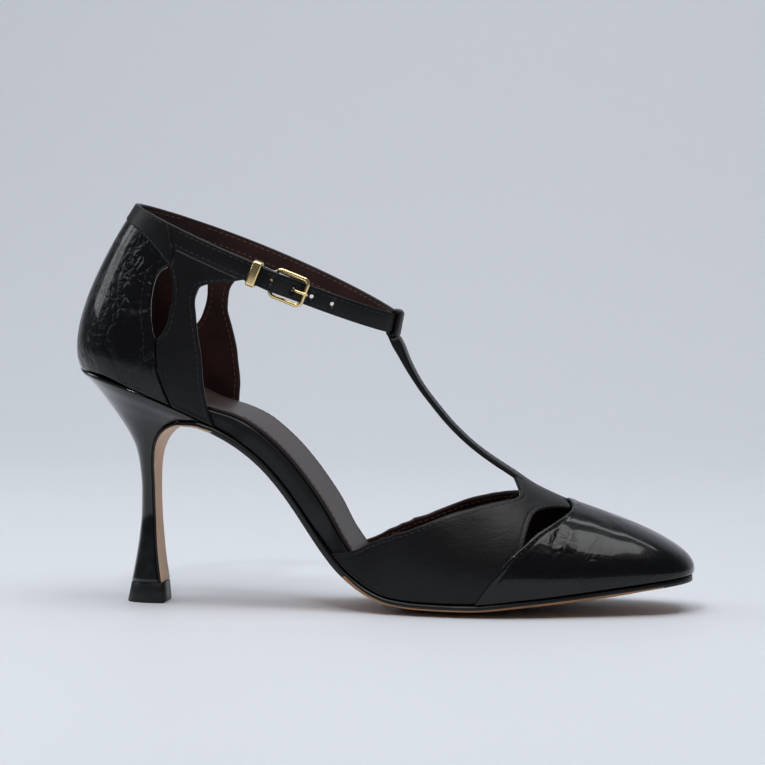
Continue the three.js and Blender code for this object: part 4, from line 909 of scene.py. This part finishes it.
# toe cap
cap = {
    "at": (0, 0.275, 0.286, 0.304, 0.325, 0.373, 0.426, 0.461, 0.49, 0.519, 0.547, 0.584, 0.618),
    "height": (1, 1, 0.93, 0.84, 0.765, 0.648, 0.528, 0.448, 0.366, 0.291, 0.209, 0.098, 0.004),
    "step": 0.5, "stitch": 2.2, "rows": 110, "cols": 56, "tipRows": 46, "tipEnd": 0.27, "lipFrom": (3.0, 6.0),
    "seams": ((2.2, "high", (47, 106), "outer", 0.22),),
    "folds": (
        ((186, 31, 22), (192, 22, 35), 1.5, 0.3), ((189, 30, 21), (196, 21, 33), 1.3, -0.25),
        ((183, 32, 17), (190, 29, 22), 1.4, 0.25),
        ((192, 29, 22), (197, 27, 24), 1.2, 0.28), ((195, 29, 19), (200, 26, 24), 1.0, 0.22),
        ((203, 28, 12), (205, 24, 22), 0.9, 0.22),
        ((213, 26, 13), (214, 21, 21), 0.9, 0.2), ((226, 21, 14), (227, 17, 19), 0.8, 0.16),
        ((196, 30, 14), (206, 27, 18), 1.1, 0.15),
    ),
}
capHeight = curve(cap["at"], cap["height"])


def capGrid(side):
    tip = np.linspace(0, cap["tipEnd"], cap["tipRows"])
    wing = np.linspace(cap["at"][1], cap["at"][-1], cap["rows"] - cap["tipRows"])
    a = np.concatenate([tip, wing])[:, None]
    k = np.linspace(0, 1, cap["cols"])[None, :]
    return fore(side * a, k * capHeight(a))


def makeCap():
    cover = Panel([capGrid(1), capGrid(-1)], last["wall"], cap["step"])
    onTop = smooth(*cap["lipFrom"], cover.points[:, 2] - featherZ(cover.points[:, 0]))
    lip = cover.beside(0.9, 0.7) - 0.7 * cover.beside(cap["stitch"], 0.4)
    cover.height += 0.16 * lip * onTop
    cover.fold(cap["folds"])
    cover.solid("toe_cap_skin", ["cap", "lining", "cap"], ["toe_cap"])
    for g in (0, 1):
        sew(cover, g, cap["seams"])


lens = {"span": (0.27, 0.6), "height": (-0.12, 0.42), "rows": 40, "cols": 20, "wall": 2.6, "depth": 2.05}


def makeLensShadeSheet():  # painted shade: a dark sheet in the lining's colour behind the inner lens cut, which lets no light through, so the inside seen through the lenses stays dark
    u = np.linspace(*lens["span"], lens["rows"])[:, None]
    k = np.linspace(*lens["height"], lens["cols"])[None, :]
    sheet = Panel([fore(u, np.clip(capHeight(u) + k, 0, 0.985))], lens["wall"], -lens["depth"])
    sheet.solid("lens_shade_sheet", ["lining"] * 3, None, 0.3)


makeLensShadeSheet()
makeCap()
print("toe cap done")

# rear panels
seams = {
    "at": (0, 0.08, 0.207, 0.376, 0.42, 0.54, 0.65, 0.766, 0.83, 0.875, 0.92, 0.96, 1.0),
    "counter": (0.705, 0.673, 0.638, 0.62, 0.604, 0.575, 0.558, 0.55, 0.562, 0.588, 0.6, 0.6, 0.6),
    "quarter": (0.71, 0.678, 0.643, 0.625, 0.642, 0.664, 0.664, 0.648, 0.622, 0.603, 0.606, 0.598, 0.588),
    "front": (0.918, 0.893, 0.868, 0.847, 0.84, 0.812, 0.786, 0.762, 0.764, 0.79, 0.84, 0.888, 0.93),
    "innerQuarter": (0.71, 0.678, 0.643, 0.625, 0.655, 0.7, 0.71, 0.695, 0.662, 0.62, 0.606, 0.598, 0.588),
    "innerFront": (0.925, 0.925, 0.925, 0.9, 0.892, 0.854, 0.816, 0.807, 0.819, 0.845, 0.875, 0.9, 0.93),
}
counterEdge = curve(seams["at"], seams["counter"])
quarterEdges = {-1: ("quarter", "front"), 1: ("innerQuarter", "innerFront")}
collar = {
    "lowAt": (0, 0.15, 0.37, 0.48, 0.545, 0.6), "low": (1.04, 1.02, 0.975, 0.938, 0.9, 0.868),
    "seamAt": (0.86, 0.92, 1.0, 1.1, 1.5, 2.0), "seam": (0.594, 0.6, 0.582, 0.568, 0.536, 0.49),
    "span": 0.594, "proud": 0.35, "rows": 150, "cols": 26,
    "seams": (
        (1.5, "high", (3, 147), "outer", 0.24), (1.5, "low", (3, 147), "outer", 0.24),
        (1.6, "high", (3, 147), "lining", 0.32),
    ),
}
collarLow = curve(collar["lowAt"], collar["low"])
collarSeam = curve(collar["seamAt"], collar["seam"])
counter = {
    "span": 0.588, "lap": 1.4, "tall": 60, "rows": 170, "cols": 90, "stitch": 1.9, "seamRows": (8, 161),
    "dimple": (27.5, 25.5, 119), "folds": (
        ((16, 18, 137), (28, 20, 131), 1.1, 0.34), ((13, 22, 126), (30, 23, 128), 1.0, 0.34),
        ((9, 24, 118), (22, 25, 122), 1.1, 0.3),
        ((22, 24, 122), (32, 24, 125), 1.0, 0.3), ((20, 23, 128), (26, 22, 134), 0.9, 0.26),
        ((18, 24, 121), (16, 22, 130), 1.2, -0.2),
        ((8, 24, 112), (13, 23, 128), 1.4, 0.2), ((24, 24, 122), (22, 26, 112), 1.1, 0.24),
        ((14, 26, 108), (23, 27, 112), 1.0, 0.2),
        ((30, 22, 129), (33, 22, 133), 1.0, 0.3), ((20, 20, 132), (16, 17, 141), 1.2, 0.25),
        ((7, 21, 104), (20, 27, 102), 1.2, 0.14),
    ),
}


def counterGrid():
    side = np.linspace(-1, 1, counter["rows"])[:, None]
    q = np.linspace(0, 1, counter["cols"])[None, :]
    top = collarLow(np.abs(side) * counter["span"])
    lap = counter["lap"] / np.where(top > 1, loop["width"], counter["tall"])
    t = q * (top + lap)
    return rear(side * counterEdge(t), t)


def makeCounter():
    wrapped = Panel([counterGrid()], last["wall"])
    x, y, z = counter["dimple"]
    for side in (-1, 1):
        dimple = np.linalg.norm(wrapped.points - np.array([x, side * y, z]), axis=1)
        wrapped.height -= 0.3 * np.exp(-(dimple / 0.9) ** 2)
    wrapped.fold(counter["folds"])
    wrapped.height -= 0.1 * wrapped.beside(counter["stitch"], 0.4)
    wrapped.solid("counter_skin", ["counter", "lining", "counter"], ["counter"])
    for row in counter["seamRows"]:
        stitch(*wrapped.across(0, row, 4, 84), thick=0.22)


def collarGrid():
    side = np.linspace(-1, 1, collar["rows"])[:, None]
    q = np.linspace(0, 1, collar["cols"])[None, :]
    t = mix(collarLow(np.abs(side) * collar["span"]), 2, q)
    return rear(side * collarSeam(t), t)


def makeCollar():
    top = Panel([collarGrid()], last["wall"], collar["proud"])
    top.solid("collar_skin", ["calf", "lining", "calf"], ["back_collar"])
    sew(top, 0, collar["seams"])


quarter = {
    "rows": 126, "cols": 34, "neck": 0.985, "under": (0.992, 1.0, 1.02, 1.09),
    "sunk": (0.1, -0.25, -0.5, -0.6), "proud": 0.12, "stitch": 1.9, "seams": (
        (1.9, "high", (3, 125), "outer", 0.32), (1.9, "low", (50, 116), "outer", 0.32),
        (2.0, "high", (3, 125), "lining", 0.32), (1.9, "low", (50, 116), "lining", 0.32),
    ),
}


def makeQuarter(side, name):  # its last rows sink under the strap
    t = np.concatenate([np.linspace(0, quarter["neck"], quarter["rows"]), quarter["under"]])[:, None]
    k = np.linspace(0, 1, quarter["cols"])[None, :]
    low, high = (curve(seams["at"], seams[n])(t) for n in quarterEdges[side])
    post = Panel([rear(side * mix(low, high, k), t)], last["wall"])
    post.height += 0.1 * (post.beside(0.8, 0.7) - post.beside(quarter["stitch"], 0.4)) + quarter["proud"]
    post.height[post.ids[0][-len(quarter["sunk"]):]] = np.array(quarter["sunk"])[:, None]
    post.solid(name + "_skin", ["calf", "lining", "calf"], [name])
    sew(post, 0, quarter["seams"])


makeCounter()
makeCollar()
makeQuarter(-1, "quarter_outer")
makeQuarter(1, "quarter_inner")
print("rear done")

# straps and buckle
fit = {
    "front": 44.5, "buckle": 13, "half": 5.3, "wire": 0.8, "prong": 0.55, "corner": 2.2, "keeper": 65,
    "keeperWidth": 3.4, "keeperWall": 0.9, "strap": 1.6, "billet": 1.8, "run": 0.25,
    "holes": (33.2, 41.6, 49.3, 57.9), "holeRadius": 0.8, "lap": 0.03,
}
bar = fit["front"] + fit["buckle"]
middle = loop["width"] / 2
rearBar = -fit["billet"] / 2
frontBar = last["gap"] + fit["wire"]
seamAngle = (float(collarSeam(1.5)) + last["gap"] / 72) * rearSweep
over = fit["wire"] + fit["run"] + 2 * fit["prong"] + last["gap"] + fit["strap"] + rearBar
strapAt = [fit["front"] + k * fit["buckle"] for k in (-0.15, 0.14, 0.415, 0.677, 0.885, 1.077, 1.23)]
strapAt += [fit["keeper"] - fit["keeperWidth"] / 2, fit["keeper"] + fit["keeperWidth"]]
raised = fit["strap"] + last["gap"]
strapUp = curve(strapAt, [0, 0, 0.32 * over, 0.7 * over, 0.98 * over, over, 0.86 * over, raised, raised])


# a strap along the loop, whose first end follows the collar's seam
def makeStrip(name, thetas, heights, thickness, nodes):
    sec, kinds = section(0, loop["width"], -thickness, 0, 0.55)
    rings = []
    n = len(thetas)
    for i, theta in enumerate(thetas):
        ease = (1 - i / (n - 1)) ** 3 if i < n / 2 else 0.0
        ring = []
        for depth, height in sec:
            t = np.clip(2 - depth / loop["width"], 1, 2)
            slant = (float(collarSeam(t)) - float(collarSeam(1.5))) * rearSweep
            at, ahead, down, out = loopFrame(theta + (-1 if theta > math.pi else 1) * slant * ease)
            ring.append(at + down * depth + out * (height + heights[i]))
        rings.append(ring)
    points, faces, spots = skin(rings)
    kinds = [kinds[k] if k >= 0 else 2 for k in spots]
    return makeMesh(name, points, faces, kinds, ["strap", "lining", "strap"], nodes)


def stripLine(thetas, heights, depth, thickness=0):  # a thickness puts the line on the lining
    at, ahead, down, out = loopFrame(np.array(thetas))
    lift = np.array(heights) - thickness
    return at + down * depth + out * lift[:, None], out * (-1 if thickness else 1)


def punch(strap, length):  # one round hole through the ankle strap
    at, ahead, down, out = loopFrame(float(thetaAt(length)))
    rise = float(strapUp(length + 0.5)) - float(strapUp(length - 0.5))
    centre = at + down * middle + out * (float(strapUp(length)) - fit["strap"] / 2)
    bpy.ops.mesh.primitive_cylinder_add(radius=fit["holeRadius"] * mm, depth=6 * mm, vertices=24)
    tool = bpy.context.object
    tool.location = tuple(toRow(centre))
    tool.rotation_mode = "QUATERNION"
    tool.rotation_quaternion = Vector(unit(out - ahead * rise)).to_track_quat("Z", "Y")
    bpy.context.view_layer.update()
    mod = strap.modifiers.new("hole", "BOOLEAN")
    mod.operation, mod.solver, mod.object = "DIFFERENCE", "EXACT", tool
    with bpy.context.temp_override(object=strap, active_object=strap, selected_objects=[strap]):
        bpy.ops.object.modifier_apply(modifier="hole")
    bpy.data.objects.remove(tool)


def makeAnkleStrap():
    start, end = seamAngle - fit["lap"], float(thetaAt(fit["keeper"] + fit["keeperWidth"] / 2 + 0.6))
    thetas = np.linspace(start, end, 170)
    heights = strapUp(lengthOf(thetas)) * (thetas > math.pi)
    strap = makeStrip("ankle_strap_leather", thetas, heights, fit["strap"], ["ankle_strap"])
    for length in fit["holes"]:
        punch(strap, length)
    for depth in (1.5, loop["width"] - 1.5):
        stitch(*stripLine(thetas[4:-4], heights[4:-4], depth), thick=0.24)
        stitch(*stripLine(thetas[4:100], heights[4:100], depth, fit["strap"]), kind="lining")


def makeBillet():
    start = 2 * math.pi - seamAngle + fit["lap"]
    end = float(thetaAt(bar + fit["wire"] + fit["run"] + 0.4))
    thetas = np.linspace(start, end, 60)
    flat = np.zeros(60)
    makeStrip("billet_leather", thetas, flat, fit["billet"], ["buckle_billet"])
    for depth in (1.4, loop["width"] - 1.4):
        stitch(*stripLine(thetas[3:-2], flat[3:-2], depth), thick=0.24)
    r = fit["wire"] + fit["run"] + 0.8
    turns = [2 * math.pi * k / 24 for k in range(24)]
    wrap = []
    for depth in np.linspace(0.3, loop["width"] - 0.3, 5):
        wrap.append([onLoop(bar + r * math.cos(a), depth, r * math.sin(a) + rearBar) for a in turns])
    points, faces, _ = skin(wrap)
    makeMesh("billet_wrap", points, faces, None, ["strap"], [])


makeAnkleStrap()
makeBillet()


def makeRod(name, path, radius, closed, nodes, sides=14):  # gold wire along a path beside the loop
    path = np.array(path, float)
    points = np.array([onLoop(*row) for row in path])
    back, front = np.roll(points, 1, axis=0), np.roll(points, -1, axis=0)
    if not closed:
        back[0], front[-1] = points[0], points[-1]
    t = unit(front - back)
    out = loopFrame(thetaAt(path[:, 0]))[3]
    side = unit(np.cross(t, out))
    lift = np.cross(side, t)
    turns = 2 * math.pi * (np.arange(sides) + 0.5) / sides
    rings = []
    for i in range(len(points)):
        across, up = side[i] * radius, lift[i] * radius
        rings.append([points[i] + across * math.cos(a) + up * math.sin(a) for a in turns])
    made, faces, _ = skin(rings, closed)
    return makeMesh(name, made, faces, None, ["gold"], nodes)


def framePath():
    spots = roundedBox(fit["front"], bar, middle - fit["half"], middle + fit["half"], fit["corner"], 10)
    return [(at, depth, mix(frontBar, rearBar, (at - fit["front"]) / fit["buckle"])) for at, depth in spots]


def prongPath():
    rise = frontBar + fit["wire"] + last["gap"] + fit["prong"] - rearBar
    ring = fit["wire"] + fit["run"] + fit["prong"]
    along = curve(np.arange(7), [ring / fit["buckle"], 0.32, 0.49, 0.62, 0.72, 0.85, 1.1])
    up = curve(np.arange(7), [0, 0, 0, 0.41, 0.77, 1, 1])
    steps = np.linspace(0, 6, 31)
    return [(bar - float(along(k)) * fit["buckle"], middle, rearBar + float(up(k)) * rise) for k in steps]


makeRod("buckle_wire", framePath(), fit["wire"], True, ["buckle_frame"])
makeRod("prong_wire", prongPath(), fit["prong"], False, ["buckle_prong"], 12)
eye = fit["wire"] + fit["run"] + fit["prong"]
eyeTurns = 2 * math.pi * np.arange(20) / 20
prongRing = [(bar + eye * math.cos(a), middle, rearBar + eye * math.sin(a)) for a in eyeTurns]
makeRod("prong_eye", prongRing, fit["prong"], True, [], 10)
keeperEnds = fit["keeper"] - fit["keeperWidth"] / 2, fit["keeper"] + fit["keeperWidth"] / 2
keeperFaces = -fit["billet"] - 0.3, fit["strap"] + 0.6
makeBand("keeper_band", *keeperEnds, *keeperFaces, fit["keeperWall"], "gold", ["keeper"], 12)
print("straps done")

# sole, heel, board and sock
heelFoot = 8.3 / last["seatHeight"]  # clear above the top piece
heel = {
    "back": (0.018, 0.06, 0.135, 0.22, 0.306, 0.38, 0.43, 0.458, 0.471, 0.469, 0.451, 0.424, 0.388),
    "backZ": (0.981, 0.962, 0.915, 0.853, 0.786, 0.721, 0.66, 0.58, 0.48, 0.385, 0.285, 0.19, heelFoot),
    "front": (1.0, 0.94, 0.845, 0.752, 0.678, 0.631, 0.609, 0.602, 0.603, 0.608, 0.617, 0.631, 0.655),
    "frontZ": (0.76, 0.764, 0.764, 0.75, 0.72, 0.677, 0.625, 0.56, 0.475, 0.385, 0.285, 0.19, heelFoot),
    "half": (25.61, 24.44, 21.32, 17.16, 13.52, 10.53, 8.14, 6.6, 5.61, 5.5, 6.3, 6.825, 7.5),
    "round": (0.54, 0.56, 0.62, 0.68, 0.74, 0.78, 0.82, 0.86, 0.88, 0.88, 0.86, 0.82, 0.8),
    "bow": (1.4, 0.9, 0.4, 0, 0, 0, 0, 0, 0, 0, 0, 0, 0), "flap": 1.3, "rings": 90, "around": 26,
}
lastStop = len(heel["back"]) - 1
shapes = ("back", "backZ", "front", "frontZ", "half", "round", "bow")
heelAt = {k: curve(np.arange(lastStop + 1), heel[k]) for k in shapes}


# half an outline on each side, from the back's arc to the straight front
def heelRing(back, backZ, front, frontZ, half, round, bow, count):
    def side(sign):
        c = 1 - np.cos(np.linspace(0, 1, count + 1) * math.pi / 2)
        wide = np.sqrt(1 - np.clip(1 - c / round, 0, 1) ** 2)
        return xyz(mix(back, front, c), sign * half * wide, mix(backZ, frontZ, c) + bow * 4 * c * (1 - c))
    return np.concatenate([side(-1)[::-1], side(1)[1:]])


def breastLine(k):
    return float(heelAt["front"](k)) * last["seatLength"], float(heelAt["frontZ"](k)) * last["seatHeight"]


def breastNormal(k):
    a, b = breastLine(max(k - 0.2, 0)), breastLine(min(k + 0.2, lastStop))
    t = unit(np.array([b[0] - a[0], b[1] - a[1]]))
    return np.array([t[1], 0, -t[0]])


def soleWall(k):
    return mix(last["sole"], heel["flap"], min(k / 3, 1))


def makeHeel():
    seatZ0, seatZ1 = float(featherZ(0)), float(featherZ(last["seatLength"]))
    bow = float(featherZ(last["seatLength"] / 2)) - (seatZ0 + seatZ1) / 2
    rounding = last["heelRounding"] / last["seatLength"]
    rings = [heelRing(0, seatZ0, last["seatLength"], seatZ1, last["seatHalf"], rounding, bow, heel["around"])]
    for k in np.linspace(0, lastStop, heel["rings"]):
        h = {n: float(heelAt[n](k)) for n in heelAt}
        push = breastNormal(k) * (soleWall(k) + last["gap"])
        back, backZ = h["back"] * last["seatLength"], h["backZ"] * last["seatHeight"]
        front, frontZ = h["front"] * last["seatLength"] + push[0], h["frontZ"] * last["seatHeight"] + push[2]
        rings.append(heelRing(back, backZ, front, frontZ, h["half"], h["round"], h["bow"], heel["around"]))
    points, faces, _ = skin(rings)
    makeMesh("heel_cover", points, faces, None, ["lacquer"], ["heel"])


tip = {  # rings: height, share of the way down and inset
    "rings": ((8.0, 0, 0.35), (7.65, 0.05, 0.0), (4, 0.5, 0), (0.35, 0.96, 0), (0, 1, 0.3)),
    "back": (0.388, 0.355), "front": (0.655, 0.667), "half": (7.5, 7.65), "round": 0.8, "around": 18,
}


def makeTip():
    rings = []
    for z, share, inset in tip["rings"]:
        back, front = (mix(*tip[k], share) * last["seatLength"] for k in ("back", "front"))
        half = mix(*tip["half"], share) - inset
        rings.append(heelRing(back + inset, z, front - inset, z, half, tip["round"], 0, tip["around"]))
    points, faces, _ = skin(rings)
    makeMesh("top_piece", points, faces, None, ["rubber"], ["heel_tip"])


makeHeel()
makeTip()
crownShare = curve((0.0, 0.385, 0.418, 0.48, 0.56, 0.62, 0.8, 1.0), (0, 0, 0.1, 0.5, 0.95, 1.0, 0.9, 0.4))
seatThick, waistThick, ballThick = 4.6, 7.6, 2.6
board = {
    "at": (0.0, 0.2, 0.26, 0.285, 0.385, 0.418, 0.48, 0.56, 0.62, 0.8, 1.0),
    "thick": (
        seatThick, seatThick, mix(seatThick, waistThick, 0.8), waistThick, waistThick,
        mix(ballThick, waistThick, 0.75), mix(ballThick, waistThick, 0.35), *[ballThick] * 4,
    ),
    "inset": (2.1, 2.1, 2.1, 0.8, 0.8, 2.52, 2.415, 2.1, 2.1, 2.1, 2.1),
    "round": 0.9, "sock": 1.2, "sockRound": 0.5, "stations": 150,
}
boardAt, insetAt = curve(board["at"], board["thick"]), curve(board["at"], board["inset"])


def crownAt(x):
    ends = smooth(0, last["heelRounding"], np.minimum(x, last["length"] - x))
    return crownShare(x / last["length"]) * last["crown"] * ends


def stations(start, count):  # closer together at the toe
    share = np.sin(np.linspace(0, 1, count) * math.pi / 2) ** 0.95
    return start + (last["length"] - start) * share


sole = {
    "start": 6, "flapRings": 60, "stations": 130, "inset": 0.7, "bevel": (1, 0.92, 0.26), "tan": (108, 230),
    "across": (0.22, 0.4, 0.6, 0.75, 0.88, 0.95, 0.985, 1),
}
breastStart = last["seatLength"] + sole["start"]


def makeSole():
    across = np.array([*(-c for c in sole["across"][::-1]), 0, *sole["across"]])
    n = len(across)
    rings = []
    for k in np.linspace(lastStop, 0, sole["flapRings"]):
        x, z = breastLine(k)
        half, push = float(heelAt["half"](k)), breastNormal(k) * soleWall(k)
        low = xyz(x, across * half, z)
        rings.append(np.concatenate([low, low[-1:] + push * 0.3, (low + push)[::-1], low[:1] + push * 0.3]))
    for x in stations(breastStart, sole["stations"]):
        z, nrm, crown = float(featherZ(x)), featherNormal(x), float(crownAt(x))
        half = np.where(across < 0, float(halfWidth(x, -1)), float(halfWidth(x, 1)))
        under = np.array([x, 0, z]) - nrm * last["sole"]
        sag = crown * (1 - np.abs(across) ** 2.2)
        low = xyz(under[0], across * np.maximum(half - sole["inset"], 0), np.maximum(under[2] - sag, 0))
        high = xyz(x, across * half, z - sag)
        bevel = [low[i] + (high[i] - low[i]) * sole["bevel"] for i in (-1, 0)]
        rings.append(np.concatenate([low, bevel[:1], high[::-1], bevel[1:]]))
    points, faces, spots = skin(rings)
    kinds = []  # the bevel is tan along the waist and the forepart, and the flap down the heel's front has a lighter copy of the sole's tan: painted light
    for f, k in zip(faces, spots):
        x = points[f].mean(axis=0)[0]
        bevelled = k in (n - 1, 2 * n + 1) and (x < breastStart or sole["tan"][0] < x < sole["tan"][1])
        below = k < n - 1 or bevelled
        kinds.append((2 if x < breastStart + 2 else 0) if below else 1)
    slots = ["tan", "edge", "litBreast"]
    makeMesh("outsole_leather", points, faces, kinds, slots, ["outsole"])


plate = {
    "across": (0.3, 0.6, 0.8, 0.93, 1),
    "seat": (0, 0.004, 0.012, 0.03, 0.06, 0.1, 0.15, 0.21, 0.28, 0.36, 0.46, 0.58, 0.72, 0.86),
}


# a spot of a plate: its station, inset, height over the feather and share across
def plateSpot(x, ins, height, c):
    side = np.where(c < 0, -1, 1)
    toe = last["length"] - last["toeRounding"]
    along = x
    if x < last["heelRounding"]:
        along = mix(last["heelRounding"], x, 1 - ins / last["heelRounding"])
    if x > toe:
        along = mix(toe, x, 1 - ins / last["toeRounding"])
    y = halfWidth(x, side) * (1 - ins / bodyHalf(x, side)) * c
    spot = np.array([along, 0, float(featherZ(along))]) + featherNormal(along) * height
    return xyz(spot[0], y, spot[2] - float(crownAt(x)) * (1 - np.abs(c) ** 2.2))


def makePlate(name, bottom, top, inset, round, materials, nodes, slotName):
    across = np.array([*(-c for c in plate["across"][::-1]), 0, *plate["across"]])
    right, left = np.array([1.0]), np.array([-1.0])
    rings = []
    seat = np.array(plate["seat"]) * breastStart
    for x in np.concatenate([seat, stations(breastStart, board["stations"])]):
        at = x / last["length"]
        b, t, ins = float(bottom(at)), float(top(at)), float(inset(at))
        side = [mix(b + round, t - round, s) for s in (0, 0.5, 1)]
        shoulder = ins + round * 0.3, t - round * 0.3
        parts = [plateSpot(x, ins, b, across)]
        parts += [plateSpot(x, ins, z, right) for z in side] + [plateSpot(x, *shoulder, right)]
        parts += [plateSpot(x, ins + round, t, across[::-1]), plateSpot(x, *shoulder, left)]
        parts += [plateSpot(x, ins, z, left) for z in side[::-1]]
        rings.append(np.concatenate(parts))
    points, faces, spots = skin(rings)
    n = len(across)
    kinds = [1 if 0 <= k < n + 3 or k > 2 * n + 3 else 0 for k in spots]
    makeMesh(name, points, faces, kinds, materials, nodes)
    return np.array(rings)


def makeBoard():
    faces = (lambda at: last["lift"]), (lambda at: last["lift"] + boardAt(at))
    makePlate("board_band", *faces, insetAt, board["round"], ["calf", "edge"], ["insole_board"], "calf")


def makeSock():
    def under(at):
        return last["lift"] + boardAt(at) + last["gap"]

    faces = under, (lambda at: under(at) + board["sock"]), (lambda at: insetAt(at) + last["gap"])
    # the second slot puts the painted shade on the sock's rim
    slots = ["sock", "sockRimShade"]
    rings = makePlate("sock_leather", *faces, board["sockRound"], slots, ["sock"], "sock_leather")
    rows = rings[16:-8]
    for k in (16, 24):  # beside the rim on each side
        ups = featherNormal(rows[:, k, 0])
        stitch(rows[:, k] + ups * 0.05, ups, kind="lining", thick=0.3)


makeSole()
makeBoard()
makeSock()
print("sole, heel, board and sock done")

makeThreads("stitches", "outer", "thread")
makeThreads("lining_stitches", "lining", "liningThread")
print("threads", len(threads["outer"]), len(threads["lining"]))
